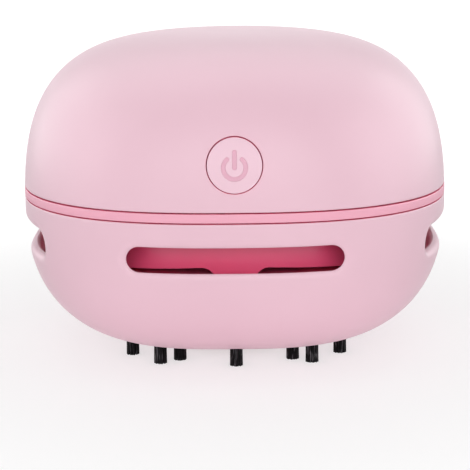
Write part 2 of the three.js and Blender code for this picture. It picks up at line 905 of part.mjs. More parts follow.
function charge_board() {
  const half = charge_board_width / 2;
  return block(
    [-half, charge_board_front, seat_above_deck],
    [half, charge_board_end, board_top],
  );
}

function usb_socket() {
  const outline = (inset) => round_rectangle(
    usb_width - inset * 2,
    usb_height - inset * 2,
    usb_height / 2 - inset - weld_tolerance,
    0,
    usb_centre,
  );
  const shell = facing(pushed(outline(0), usb_length, 2), Math.PI / 2).translate(0, usb_back, 0);
  const hollow = facing(pushed(outline(usb_wall), usb_length, 2), Math.PI / 2);
  return solid(shell).subtract(solid(hollow.translate(0, usb_back + overrun, 0)));
}

function usb_tongue() {
  return block(
    [-tongue_plate_width / 2, usb_back + overrun + gap, usb_centre - tongue_plate_thickness / 2],
    [tongue_plate_width / 2, usb_mouth - overrun, usb_centre + tongue_plate_thickness / 2],
  );
}

function charge_light() {
  const half = led_base / 2;
  return join(
    block(
      [led_offset - half, charge_board_end - led_base_length - gap, board_top + gap],
      [led_offset + half, charge_board_end - gap, usb_centre + led_radius],
    ),
    rod_y(
      led_radius,
      charge_board_end - led_base_length,
      half_width - usb_recess,
      led_offset,
      usb_centre,
      small_sides,
    ),
  );
}

// Filter frame with its cage and two tongues, the mesh basket and the seal
const seal_top = fan_underside - gap;
const seal_low = seal_top - seal_height;
const filter_low = filter_top - filter_plate_thickness;

function filter_frame() {
  const cage_low = -cage_depth;
  const plate = turned([
    [filter_hole_radius, filter_low], [filter_radius, filter_low], [filter_radius, filter_top],
    [filter_hole_radius, filter_top],
  ]);
  const rim = tube(filter_radius - filter_rim_width, filter_radius, filter_top - filter_rim_height, filter_top);
  const ring = tube(cage_radius - cage_wall, cage_radius, cage_low, cage_low + cage_ring_height);
  const bars = Array.from({ length: cage_bars }, (_, i) => turn(block(
    [cage_radius - cage_wall, -cage_bar_width / 2, cage_low],
    [cage_radius, cage_bar_width / 2, filter_low + filter_plate_thickness / 2],
  ), ((i + 0.5) * full_turn) / cage_bars));
  const tongues = [-1, 1].map((side) => {
    const [a, b] = [side * (filter_radius - filter_rim_width), side * (filter_radius - gap)];
    return block(
      [Math.min(a, b), -tongue_width / 2, -tongue_depth],
      [Math.max(a, b), tongue_width / 2, filter_top - filter_rim_height / 2],
    );
  });
  const groove = tube(
    seal_radius - seal_width / 2 - gap,
    seal_radius + seal_width / 2 + gap,
    seal_low - gap,
    filter_top + overrun,
  );
  return join(plate, rim, ring, ...bars, ...tongues).subtract(groove);
}

function filter_mesh() {
  const outer = cage_radius - cage_wall - gap;
  const low = -cage_depth + gap;
  const high = filter_low - gap;
  return turned([
    [0, low], [outer, low], [outer, high], [outer - mesh_wall, high],
    [outer - mesh_wall, low + mesh_wall], [0, low + mesh_wall],
  ]);
}

function filter_seal() {
  return tube(seal_radius - seal_width / 2, seal_radius + seal_width / 2, seal_low, seal_top);
}

// Lower shell with its four slots, brush pocket, tuft holes, inlet seat and screw bosses
const belly_steps = 8;
const belly_inner_steps = 6;

function slot_outline(half_length, half_height) {
  const straight = half_length - half_height;
  const end = (side) => Array.from({ length: slot_end_steps + 1 }, (_, i) => {
    const angle = -Math.PI / 2 + (Math.PI * i) / slot_end_steps;
    return [side * (straight + half_height * Math.cos(angle)), side * half_height * Math.sin(angle)];
  });
  const edge = (side) => Array.from({ length: slot_edge_steps - 1 }, (_, i) => (
    [side * straight * (1 - (2 * (i + 1)) / slot_edge_steps), side * half_height]
  ));
  return [...end(1), ...edge(1), ...end(-1), ...edge(-1)];
}

function slot_cutter(length, angle) {
  const spread = (extra, reach_of) => slot_outline(length / 2 + extra, slot_height / 2 + extra).map(([s, t]) => {
    const z = -slot_centre_depth + t;
    return new THREE.Vector3(s, z, reach_of(s, z));
  });
  return solid(facing(loft([
    spread(slot_lip + overrun, () => half_width + overrun * 2),
    spread(slot_lip + overrun, (s, z) => belly_reach(s, z) + overrun),
    spread(0, (s, z) => belly_reach(s, z) - slot_lip),
    spread(0, () => fan_wall_radius - overrun),
  ]), angle));
}

const quarters = [[1, -1], [1, 1], [-1, 1], [-1, -1]];

// Tuft places of one quarter; the first stands on the axis where that quarter starts
function quarter_tufts(quarter) {
  const [sx, sy] = quarters[quarter];
  const axis_reach = axis_tuft_share * brush_outer;
  const [corner_x, corner_y] = corner_tuft_shares.map((share) => share * brush_outer);
  const [side_x, side_y] = side_tuft_shares.map((share) => share * brush_outer);
  const rest = [[corner_x - tuft_pair_right, corner_y - tuft_pair_forward], [corner_x, corner_y], [side_x, side_y]];
  const start = radians((quarter - 1) * quarter_turn);
  return [
    [axis_reach * Math.cos(start), axis_reach * Math.sin(start)],
    ...rest.map(([x, y]) => [sx * x, sy * y]),
  ];
}

function lower_shell() {
  const hull = belly_form(rim_top, base_depth, 0, belly_steps);
  const hollow = belly_form(rim_top + overrun, brush_floor_depth, shell_wall, belly_inner_steps);
  const boss_low = -cup_top_depth - cup_flange_thickness - gap;
  const bosses = corner_places(cup_screw_circle).map(([x, y]) => (
    rod(screw_boss_radius, boss_low - cup_screw_reach, boss_low, x, y)
  ));
  const pilots = corner_places(cup_screw_circle).map(([x, y]) => (
    rod(shank_hole, boss_low - cup_screw_reach + overrun, boss_low + overrun, x, y, tiny_sides)
  ));
  const keep = belly_form(rim_top, base_depth, shell_wall / 2, belly_inner_steps);
  const pocket_ring = (z) => level({ half: brush_outer + gap, power: brush_power, z });
  const tuft_holes = quarters.flatMap((_, quarter) => quarter_tufts(quarter)).map(([x, y]) => (
    rod(tuft_hole_radius, -base_depth - overrun, -brush_floor_depth + overrun, x, y, tuft_hole_sides)
  ));
  return cut(
    hull.subtract(hollow).add(join(...bosses).intersect(keep)),
    solid(loft([pocket_ring(-brush_floor_depth), pocket_ring(cup_underside)])),
    slot_cutter(slot_front_length, -Math.PI / 2),
    slot_cutter(slot_front_length, Math.PI / 2),
    slot_cutter(slot_side_length, 0),
    slot_cutter(slot_side_length, Math.PI),
    rod(inlet_tube_radius + gap, -base_depth - overrun, -brush_floor_depth + overrun, 0, 0, round_sides),
    rod(
      inlet_flange_radius + gap,
      -base_depth - overrun,
      -base_depth + inlet_recess + inlet_flange_thickness + gap,
      0,
      0,
      round_sides,
    ),
    ...tuft_holes,
    ...pilots,
  );
}

// Dust cup: threaded collar, flange, floor and the posts that keep the filter from turning
function dust_cup() {
  const bottom = cup_underside;
  const hole = inlet_tube_radius + gap;
  const body = turned([
    [hole, bottom], [cup_floor_radius + gap, bottom],
    [cup_foot_radius + cup_wall, -cup_foot_depth - cup_wall / 2],
    [cup_knee_radius + cup_wall, -cup_knee_depth - cup_wall / 2],
    [cup_outer, -cup_step_depth - cup_wall / 2], [cup_outer, -cup_top_depth], [cup_bore, -cup_top_depth],
    [cup_bore, -cup_step_depth], [cup_knee_radius, -cup_knee_depth], [cup_foot_radius, -cup_foot_depth],
    [cup_floor_radius, -cup_floor_depth], [hole, -cup_floor_depth],
  ], drum_sides);
  const flange_low = -cup_top_depth - cup_flange_thickness;
  const seat = belly_point(belly_angle(-flange_low, shell_wall), shell_wall);
  const ring = (z) => level({ half: seat.half - gap, power: seat.power, z });
  const flange = cut(
    solid(loft([ring(flange_low), ring(-cup_top_depth)])),
    rod(cup_bore + cup_wall / 2, flange_low - overrun, overrun, 0, 0, drum_sides),
  );
  const ridges = Array.from({ length: thread_starts }, (_, i) => {
    const base = (i * full_turn) / thread_starts;
    return arc_bar(base, base + ridge_span_degrees, 7, (degrees) => ({
      inner: ridge_inner,
      outer: cup_bore + cup_wall / 2,
      low: lug_top(degrees - base) + gap,
      high: lug_top(degrees - base) + gap + ridge_thickness,
    }));
  });
  const posts = [[-1, -1], [-1, 1], [1, -1], [1, 1]].map(([sx, sy]) => {
    const inner = tongue_width / 2 + gap;
    const [x1, x2] = [filter_radius - filter_rim_width * 2, filter_radius - gap * 2].map((x) => sx * x);
    const [y1, y2] = [inner, inner + key_post_width].map((y) => sy * y);
    return block(
      [Math.min(x1, x2), Math.min(y1, y2), -cup_foot_depth - cup_wall / 2],
      [Math.max(x1, x2), Math.max(y1, y2), -key_post_top_depth],
    );
  });
  const holes = corner_places(cup_screw_circle).map(([x, y]) => (
    rod(shank_hole, flange_low - overrun, overrun, x, y, tiny_sides)
  ));
  return cut(join(body, flange, ...ridges, ...posts), ...holes);
}

// Inlet: a flanged tube through the base
function inlet_ring() {
  const low = -base_depth + inlet_recess;
  const shoulder = low + inlet_flange_thickness;
  return turned([
    [inlet_bore_radius, low], [inlet_flange_radius, low], [inlet_flange_radius, shoulder],
    [inlet_tube_radius, shoulder], [inlet_tube_radius, -inlet_rise_depth], [inlet_bore_radius, -inlet_rise_depth],
  ]);
}

// Brush segment: a slice of backing with its tufts of straight strands
function strand_places([x, y]) {
  const places = [];
  for (let q = -tuft_rings; q <= tuft_rings; q += 1) {
    for (let r = -tuft_rings; r <= tuft_rings; r += 1) {
      if (Math.abs(q + r) <= tuft_rings) {
        places.push([x + strand_spacing * (q + r / 2), y + strand_spacing * r * Math.sin(Math.PI / 3)]);
      }
    }
  }
  return places;
}

function strands(places) {
  const low = -stand_height;
  const high = backing_low + strand_embed;
  const section = new THREE.Shape(Array.from({ length: strand_sides }, (_, i) => {
    const angle = (i / strand_sides) * 2 * Math.PI;
    return new THREE.Vector2(strand_radius * Math.cos(angle), strand_radius * Math.sin(angle));
  }));
  return wasm.Manifold.compose(places.map(([x, y]) => (
    solid(pushed(section, high - low).translate(x, y, low))
  )));
}

function brush_segment(quarter) {
  const start = (quarter - 1) * quarter_turn + brush_slice_start_degrees;
  const backing = arc_bar(start, start + brush_slice_span_degrees, 12, (degrees) => ({
    inner: plan_radius(brush_inner, brush_power, radians(degrees)),
    outer: plan_radius(brush_outer, brush_power, radians(degrees)),
    low: backing_low,
    high: backing_high,
  }));
  return backing.add(strands(quarter_tufts(quarter).flatMap(strand_places)));
}

// Wire along hand-set points
function wire(points) {
  const path = new THREE.CatmullRomCurve3(points.map((point) => new THREE.Vector3(...point)));
  const section = new THREE.Shape();
  section.absarc(0, 0, wire_radius, 0, Math.PI * 2);
  return solid(new THREE.ExtrudeGeometry(section, {
    extrudePath: path,
    steps: wire_steps,
    curveSegments: wire_sides,
    bevelEnabled: false,
  }));
}

const wire_clear = board_back + gap;
const terminal_low = cap_low + motor_cap_thickness + gap;
const wire_at_terminal = terminal_low + terminal_height / 2;

function motor_wire(side) {
  const end = -terminal_thickness / 2 - gap;
  const start = [side * switch_size / 2, wire_clear, seat_above_deck + switch_board_height - wire_radius * 4];
  const [x, z] = [side * terminal_offset, wire_at_terminal];
  return wire([
    start,
    [start[0], start[1] + wire_radius * 4, start[2]],
    [x, -motor_radius - wire_radius * 4, z],
    [x, -motor_radius / 2, z],
    [x, end, z],
  ]);
}

function battery_wire(side) {
  const z = battery_low + battery_thickness / 2;
  const x = side * wire_radius * 2.5;
  const top = seat_above_deck + switch_board_height;
  const y = (board_front + board_back) / 2;
  return wire([
    [x, -battery_width / 2 - gap, z],
    [x, -battery_width / 2 - wire_radius * 5, z],
    [x, y + wire_radius * 5, z - wire_radius * 2],
    [x, y, top + wire_radius * 4],
    [x, y, top + gap],
  ]);
}

function charge_wire(side) {
  const z = board_top + wire_radius;
  const x = side * (motor_radius + wire_radius * 3.5);
  const start_x = side * (switch_board_width / 2 - wire_radius * 3);
  const end_x = side * (charge_board_width / 2 - wire_radius * 6);
  const end_z = (seat_above_deck + board_top) / 2 + wire_radius / 4;
  return wire([
    [start_x, wire_clear, z],
    [start_x, wire_clear + wire_radius * 4, z],
    [x, -motor_radius, z],
    [x, motor_radius / 2, z],
    [end_x, charge_board_front - wire_radius * 5, end_z],
    [end_x, charge_board_front - gap, end_z],
  ]);
}

// Finishes
function finish(colour, roughness, metalness = 0) {
  return new THREE.MeshStandardMaterial({ color: new THREE.Color(colour), roughness, metalness });
}

const shell_pink = finish('#ecc4d2', 0.42);
const band_pink = finish('#f3b3c4', 0.5);
const inner_pink = finish('#c33f63', 0.5);
const cup_pink = finish('#c24a6b', 0.45);
const black_nylon = finish('#141216', 0.6);
const white_plastic = finish('#e9e9ea', 0.5);
const grey_plastic = finish('#8d9094', 0.55);
const board_green = finish('#2f6b4a', 0.5);
const steel = finish('#b4b8bc', 0.3, 0.9);
const dark_steel = finish('#6b6f75', 0.4, 0.8);
const magnet_grey = finish('#3c3d40', 0.6, 0.3);
const copper = finish('#c07a4a', 0.35, 0.9);
const bronze = finish('#a98149', 0.4, 0.8);
const cell_silver = finish('#b9bcc2', 0.35, 0.6);
const foam_grey = finish('#4a4b4f', 0.9);
const rubber = finish('#3a3a3d', 0.8);
const mesh_white = finish('#dcdfe2', 0.8);
const switch_black = finish('#202024', 0.5);
const clear_light = finish('#f4f6ff', 0.2);
const wire_red = finish('#b52a2a', 0.5);
const wire_black = finish('#1c1c1f', 0.5);

const machine = new THREE.Group();

function add(name, body, material) {
  const mesh = new THREE.Mesh(shape_of(body), material);
  mesh.name = name;
  machine.add(mesh);
}

// Upper body
add('top_shell', top_shell(), shell_pink);
add('trim_ring', trim_ring(), band_pink);
add('motor_deck', motor_deck(), white_plastic);
add('fan_housing', fan_housing(), inner_pink);
add('tact_switch', tact_switch(), switch_black);
add('switch_board', switch_board(), board_green);
add('charge_board', charge_board(), board_green);
add('usb_socket', usb_socket(), steel);
add('usb_tongue', usb_tongue(), switch_black);
add('charge_light', charge_light(), clear_light);
add('battery_tray', battery_tray(), white_plastic);
add('battery_cell', battery_cell(), cell_silver);
add('battery_foam', battery_foam(), foam_grey);
add('motor_can', motor_can(), steel);
add('motor_end_cap', motor_cap(), grey_plastic);
add('motor_bush', tube(shaft_radius + gap, bush_radius, bush_low, bush_low + bush_length, small_sides), bronze);
add('magnet_left', magnet(180), magnet_grey);
add('magnet_right', magnet(0), magnet_grey);
add('terminal_left', terminal(-1), copper);
add('terminal_right', terminal(1), copper);
add('motor_wire_red', motor_wire(1), wire_red);
add('motor_wire_black', motor_wire(-1), wire_black);
add('battery_wire_red', battery_wire(1), wire_red);
add('battery_wire_black', battery_wire(-1), wire_black);
add('charge_wire_red', charge_wire(1), wire_red);
add('charge_wire_black', charge_wire(-1), wire_black);
corner_places(deck_screw_circle).forEach(([x, y], i) => {
  const seat = trim_top - ear_thickness - gap;
  const reach = -seat + deck_screw_reach - overrun;
  const body = screw(x, y, seat, reach, screw_head_radius, screw_head_height, screw_shank_radius);
  add(`deck_screw_${i + 1}`, body, dark_steel);
});
[-1, 1].forEach((side, i) => {
  const seat = deck_bottom - gap;
  const reach = can_floor - seat;
  const body = screw(
    side * motor_screw_offset,
    0,
    seat,
    reach,
    motor_screw_head_radius,
    motor_screw_head_height,
    motor_screw_shank_radius,
  );
  add(`motor_screw_${i + 1}`, body, dark_steel);
});

// Rotor
const shaft_top = cap_low + motor_cap_thickness / 2;
add('motor_shaft', rod(shaft_radius, -impeller_bottom_depth, shaft_top, 0, 0, 12), steel);
add('armature', armature(), copper);
add('commutator', commutator(), copper);
add('impeller', impeller(), white_plastic);

// Button
add('power_button', power_button(), shell_pink);
add('switch_plunger', rod_y(plunger_radius, plunger_front, plunger_back, 0, button_height, small_sides), switch_black);

// Filter
add('filter_frame', filter_frame(), white_plastic);
add('filter_mesh', filter_mesh(), mesh_white);
add('filter_seal', filter_seal(), rubber);

// Lower body
add('lower_shell', lower_shell(), shell_pink);
add('dust_cup', dust_cup(), cup_pink);
add('inlet_ring', inlet_ring(), cup_pink);
quarters.forEach((_, quarter) => {
  add(`brush_segment_${quarter + 1}`, brush_segment(quarter), black_nylon);
});
corner_places(cup_screw_circle).forEach(([x, y], i) => {
  const reach = cup_flange_thickness + gap + cup_screw_reach - overrun - gap;
  add(`cup_screw_${i + 1}`, screw_down(x, y, -cup_top_depth + gap, reach), dark_steel);
});

machine.position.z = stand_height;
const group = new THREE.Group();
group.name = 'desktop_mini_vacuum';
group.add(machine);

export default group;
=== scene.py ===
"""Looks of the desktop mini vacuum cleaner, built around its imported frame.

Pieces are drawn in millimetres, with heights counted from the upper seam, and turned into metres when
their mesh is made. The button faces -Y and the bristle tips stand on the floor at zero.
"""
import math

import bmesh
import bpy
from mathutils import Matrix, Vector, noise


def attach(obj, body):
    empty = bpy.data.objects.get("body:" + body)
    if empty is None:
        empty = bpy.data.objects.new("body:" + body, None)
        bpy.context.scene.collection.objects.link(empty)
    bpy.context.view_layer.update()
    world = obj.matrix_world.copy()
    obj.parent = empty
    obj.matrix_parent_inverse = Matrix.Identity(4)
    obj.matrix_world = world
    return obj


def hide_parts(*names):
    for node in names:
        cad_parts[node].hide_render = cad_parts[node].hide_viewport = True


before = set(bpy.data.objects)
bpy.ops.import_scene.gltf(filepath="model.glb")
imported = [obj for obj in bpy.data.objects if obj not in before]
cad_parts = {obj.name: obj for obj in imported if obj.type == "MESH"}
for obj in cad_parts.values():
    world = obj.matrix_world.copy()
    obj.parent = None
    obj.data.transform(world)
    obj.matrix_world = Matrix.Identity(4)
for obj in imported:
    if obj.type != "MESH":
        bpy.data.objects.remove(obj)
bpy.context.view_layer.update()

MM = 0.001
STAND_HEIGHT = 33.5

# Body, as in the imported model
HALF_WIDTH = 42.0
DOME_HEIGHT = 29.3
DOME_SINK = 6.9
DOME_SIDE_POWER = 3.5
DOME_RISE_POWER = 3.1
BELLY_START = 3.3
BELLY_DEPTH = 29.25
BELLY_SIDE_POWER = 2.86
BELLY_FALL_POWER = 2.51
BELLY_WIDTH_SHARE = 0.998
BASE_DEPTH = 31.7
BELT_POWER = 2.49
CROWN_POWER = 2.0
BASE_POWER = 3.16
SHELL_WALL = 2.0
SEAM_HALF_GAP = 0.11
BAND_BOTTOM = -1.78
RIM_TOP = -1.99
BAND_DEPTH = 3.7
EDGE_ROUND = 0.19

# Creases: an edge stays sharp where the surface turns by more degrees
PLAIN_CREASE = 30.0
CREASE = 40.0
SOFT_CREASE = 50.0

# Fields that hold the openings: half spans of the sides, then top, bottom and rows
DOME_SPANS = {"front": 8.0, "right": 26.0, "back": 7.2, "left": 26.0}
DOME_FIELD = (15.6, 1.55, 20)
BELLY_SPANS = {"front": 24.0, "right": 28.5, "back": 24.0, "left": 28.5}
BELLY_FIELD = (-3.7, -14.8, 14)

# Air slots: a lip is its reach, its depth and its turn
SLOT_CENTRE = -9.0
SLOT_HALF_HEIGHT = 2.35
SLOT_LIP = (1.75, 1.5, math.radians(78.0))
SLOT_DISH = (1.75, 0.62, math.radians(58.0))
SLOT_FRONT_HALF = 19.9
SLOT_FRONT_CENTRE = -8.87
SLOT_FRONT_HALF_HEIGHT = 2.48
SLOT_SIDE_HALF = 25.0

# Button
BUTTON_HEIGHT = 8.6
BUTTON_RADIUS = 4.95
BUTTON_HOLE = 5.1
BUTTON_PROUD = 0.35
BUTTON_EDGE = 0.2
FLANGE_RADIUS = 6.0
FLANGE_DEPTH = 1.2
GUIDE_BACK = -36.6
GUIDE_WALL = 1.4
ROUND_EDGE = (0.12, 0.12, math.radians(90.0))

# Charging port and its light
PORT_HEIGHT = 5.55
PORT_HALF_LENGTH = 4.8
PORT_HALF_HEIGHT = 1.9
PORT_EDGE = (0.3, 0.3, math.radians(90.0))
LIGHT_ASIDE = 8.5
LIGHT_HOLE = 1.2

# Base
INLET_SEAT = 15.0
INLET_HOLE = 13.0
INLET_STEP = -30.2
BRUSH_FLOOR = -28.0
CUP_UNDERSIDE = -26.2
BRUSH_OUTER = 25.4
BRUSH_POWER = 3.0
TUFT_HOLE = 1.75
QUARTER_TUFTS = ((11.0, 18.5), (14.7, 20.8), (20.5, 14.3))
AXIS_TUFT = 22.9

# Inlet lip
LIP_BORE = 10.5
LIP_TUBE = 12.7
LIP_RIM = 14.7
LIP_TOP = -23.5
LIP_SEAT = -30.5
LIP_BOTTOM = -31.6

# Fan housing
FAN_WALL_RADIUS = 34.2
FAN_WALL = 1.6
FAN_WALL_POWER = 2.6
FLAT_TOP = -5.4
FLAT_BOTTOM = -13.4
FAN_EDGE = 0.2
FAN_TOP = -0.15
FAN_FLOOR = -13.2
FAN_UNDERSIDE = -14.6
FAN_EYE = 10.0
SKIRT_INNER = 29.2
SKIRT_OUTER = 30.7
SKIRT_BOTTOM = -20.2
EAR_PLACE = 37.0
EAR_RADIUS = 3.3
EAR_HOLE = 1.5
EAR_HEIGHTS = (-1.75, -0.17)
WINDOW_TOP = -11.65
WINDOW_BOTTOM = -13.18
WINDOW_RAMP = 2.4
WINDOW_SLOPE = 0.7
WINDOW_PILLAR = 7.2
WINDOW_COUNT = 8

# Thread lugs on the skirt: reach, first and spanned degrees, height there and rise in mm per radian
LUG_REACH = 32.2
LUG_START = 3
LUG_SPAN = 18
LUG_HEIGHT = -19.5
LUG_RISE = 5


# ---- profiles ----

def dome_profile(angle, inset=0.0):
    """Half width, height and plan power of the dome at a profile angle."""
    rise = math.sin(angle) ** (2 / DOME_RISE_POWER)
    half = (HALF_WIDTH - inset) * max(math.cos(angle), 0.0) ** (2 / DOME_SIDE_POWER)
    height = -DOME_SINK + (DOME_HEIGHT + DOME_SINK - inset) * rise
    return half, height, BELT_POWER + (CROWN_POWER - BELT_POWER) * rise * rise


def dome_angle(height, inset=0.0):
    """The dome's profile angle at a height."""
    rise = (height + DOME_SINK) / (DOME_HEIGHT + DOME_SINK - inset)
    return math.asin(min(rise, 1.0) ** (DOME_RISE_POWER / 2))


def belly_profile(angle, inset=0.0):
    """Half width, height and plan power of the belly at a profile angle, going down."""
    fall = math.sin(angle) ** (2 / BELLY_FALL_POWER)
    half = (HALF_WIDTH * BELLY_WIDTH_SHARE - inset) * math.cos(angle) ** (2 / BELLY_SIDE_POWER)
    height = -BELLY_START - (BELLY_DEPTH - inset) * fall
    return half, height, BELT_POWER + (BASE_POWER - BELT_POWER) * fall * fall


def belly_angle(height, inset=0.0):
    """The belly's profile angle at a height below the seam."""
    fall = max(-height - BELLY_START, 0.0) / (BELLY_DEPTH - inset)
    return math.asin(min(fall, 1.0) ** (BELLY_FALL_POWER / 2))


def dome_section(height, inset=0.0):
    half, _, power = dome_profile(dome_angle(height, inset), inset)
    return half, power


def belly_section(height, inset=0.0):
    half, _, power = belly_profile(belly_angle(height, inset), inset)
    return half, power


def reach(half, power, along):
    """How far a rounded-square section reaches towards one side, at a place along it."""
    return half * max(1 - (abs(along) / half) ** power, 0.0) ** (1 / power)


def plan_point(half, power, angle, height):
    """A point of a rounded-square section at a plan angle."""
    across = abs(math.cos(angle)) ** power + abs(math.sin(angle)) ** power
    radius = half / across ** (1 / power)
    return radius * math.cos(angle), radius * math.sin(angle), height


# ---- mesh making ----

def in_scene(name, data):
    """A new object in the scene."""
    thing = bpy.data.objects.new(name, data)
    bpy.context.scene.collection.objects.link(thing)
    return thing


def circle(sides):
    """Cosine and sine at even steps of a full turn."""
    return [(math.cos(2 * math.pi * i / sides), math.sin(2 * math.pi * i / sides)) for i in range(sides)]


def quarter_turn(steps):
    """Sine and cosine at even steps of a quarter turn, both ends included."""
    rolls = [math.pi / 2 * i / steps for i in range(steps + 1)]
    return [(math.sin(roll), math.cos(roll)) for roll in rolls]

class Skin:
    """Points and faces of one piece, gathered patch by patch."""

    def __init__(self):
        self.points = []
        self.faces = []

    def strip(self, rows, closed=True, skip=()):
        """A grid of faces through rows of points; columns in skip are left open."""
        count = len(rows[0])
        first = len(self.points)
        for row in rows:
            self.points.extend(row)
        columns = range(count if closed else count - 1)
        for r in range(len(rows) - 1):
            low, high = first + r * count, first + (r + 1) * count
            for c in columns:
                if c not in skip:
                    after = (c + 1) % count
                    self.faces.append((low + c, low + after, high + after, high + c))

    def piece(self, name, crease=CREASE):
        """The finished object: one closed mesh in metres, with its faces outwards."""
        mesh = bpy.data.meshes.new(name)
        points = [(x * MM, y * MM, (z + STAND_HEIGHT) * MM) for x, y, z in self.points]
        mesh.from_pydata(points, [], self.faces)
        made = bmesh.new()
        made.from_mesh(mesh)
        bmesh.ops.remove_doubles(made, verts=made.verts, dist=0.002 * MM)
        bmesh.ops.dissolve_degenerate(made, edges=made.edges, dist=0.0005 * MM)
        bmesh.ops.recalc_face_normals(made, faces=made.faces)
        made.to_mesh(mesh)
        made.free()
        piece = in_scene(name, mesh)
        smooth(piece, crease)
        return piece


def smooth(piece, crease=CREASE):
    """Smooth faces with sharp edges at the creases."""
    piece.data.polygons.foreach_set("use_smooth", [True] * len(piece.data.polygons))
    piece.data.set_sharp_from_angle(angle=math.radians(crease))


def is_squared(away, z):
    """Whether a point of the housing's outer wall lies in the part that is a rounded square."""
    return away > FAN_WALL_RADIUS - 0.1 and FLAT_BOTTOM - 0.05 < z - STAND_HEIGHT < FLAT_TOP + 0.05


def square_up(piece):
    """Draws the housing's round outer wall out to a rounded square behind the slots."""
    for vertex in piece.data.vertices:
        x, y, z = vertex.co / MM
        away = math.hypot(x, y)
        if away < FAN_WALL_RADIUS + 0.1 and is_squared(away, z):
            x, y, _ = plan_point(away, FAN_WALL_POWER, math.atan2(y, x), z)
            vertex.co.x, vertex.co.y = x * MM, y * MM


def wall_normals(piece, halves):
    """Shades the housing's upright walls as true curves, a rounded square outside and low, else round."""
    mesh = piece.data
    normals = [(0.0, 0.0, 0.0)] * len(mesh.loops)
    for polygon in mesh.polygons:
        if abs(polygon.normal.z) > 0.05:
            continue
        for loop in polygon.loop_indices:
            x, y, z = mesh.vertices[mesh.loops[loop].vertex_index].co / MM
            power = FAN_WALL_POWER if is_squared(math.hypot(x, y), z) else 2.0
            half = (abs(x) ** power + abs(y) ** power) ** (1 / power)
            away = Vector([math.copysign(abs(place) ** (power - 1), place) for place in (x, y)] + [0.0])
            away.normalize()
            turn = away.dot(polygon.normal)
            if abs(turn) > 0.9 and any(abs(half - wall) < 0.02 for wall in halves):
                normals[loop] = tuple(away * math.copysign(1.0, turn))
    mesh.normals_split_custom_set(normals)
    return piece


def as_plain_mesh(piece):
    """Bakes a piece's modifiers into its mesh."""
    bpy.context.view_layer.update()
    shaped = piece.evaluated_get(bpy.context.evaluated_depsgraph_get())
    result = bpy.data.meshes.new_from_object(shaped)
    piece.modifiers.clear()
    piece.data = result
    return piece


def clean(piece):
    """Merges doubled points and drops the slivers that a cut leaves."""
    made = bmesh.new()
    made.from_mesh(piece.data)
    bmesh.ops.remove_doubles(made, verts=made.verts, dist=0.004 * MM)
    bmesh.ops.dissolve_degenerate(made, edges=made.edges, dist=0.002 * MM)
    bmesh.ops.triangulate(made, faces=[face for face in made.faces if len(face.verts) > 4])
    bmesh.ops.dissolve_degenerate(made, edges=made.edges, dist=0.002 * MM)
    bmesh.ops.holes_fill(made, edges=[edge for edge in made.edges if edge.is_boundary], sides=4)
    made.to_mesh(piece.data)
    made.free()


def carve(piece, cutters, operation="DIFFERENCE"):
    """Cuts pieces out of another, or joins them to it, and drops them."""
    for cutter in cutters:
        change = piece.modifiers.new(cutter.name, "BOOLEAN")
        change.operation = operation
        change.solver = "EXACT"
        change.object = cutter
    as_plain_mesh(piece)
    for cutter in cutters:
        bpy.data.objects.remove(cutter)
    clean(piece)
    return piece


def soften(piece, width):
    """Rounds a piece's sharp edges."""
    edge = piece.modifiers.new("edges", "BEVEL")
    edge.width = width * MM
    edge.segments = 2
    edge.limit_method = "ANGLE"
    edge.angle_limit = math.radians(PLAIN_CREASE)
    edge.use_clamp_overlap = True
    as_plain_mesh(piece)
    smooth(piece)
    return piece


def turned(name, outline, sides):
    """A closed turned piece about the upright axis, from [radius, height] points."""
    skin = Skin()
    skin.strip([[(r * c, r * s, z) for c, s in circle(sides)] for r, z in [*outline, outline[0]]])
    return skin.piece(name, PLAIN_CREASE)


def capped(skin, rows):
    """Closes a stack of rows at both ends with a middle point."""
    def middle(row):
        spot = tuple(sum(p[k] for p in row) / len(row) for k in range(3))
        return [spot] * len(row)
    skin.strip([middle(rows[0]), *rows, middle(rows[-1])])


def slab(name, outline, out_angle, near, far):
    """An outline of [along, height] points pushed outwards between two distances from the axis."""
    ox, oy = math.cos(out_angle), math.sin(out_angle)
    skin = Skin()
    capped(skin, [[(ox * d - oy * s, oy * d + ox * s, z) for s, z in outline] for d in (near, far)])
    return skin.piece(name, PLAIN_CREASE)


def upright(name, outline, low, high):
    """An outline of [x, y] points pushed upwards between two heights."""
    skin = Skin()
    capped(skin, [[(x, y, z) for x, y in outline] for z in (low, high)])
    return skin.piece(name, PLAIN_CREASE)


def disc(radius, centre, sides=32):
    """The outline of a circle."""
    return [(centre[0] + radius * c, centre[1] + radius * s) for c, s in circle(sides)]


# ---- shells with openings ----

SIDE_ORDER = ("front", "right", "back", "left")
SIDE_OUT = {"front": (0, -1), "right": (1, 0), "back": (0, 1), "left": (-1, 0)}
CORNER_COLUMNS = 16


def on_side(side, along, out, height):
    """A point given by its place along one side and its distance out from the axis."""
    ox, oy = SIDE_OUT[side]
    return ox * out - oy * along, oy * out + ox * along, height


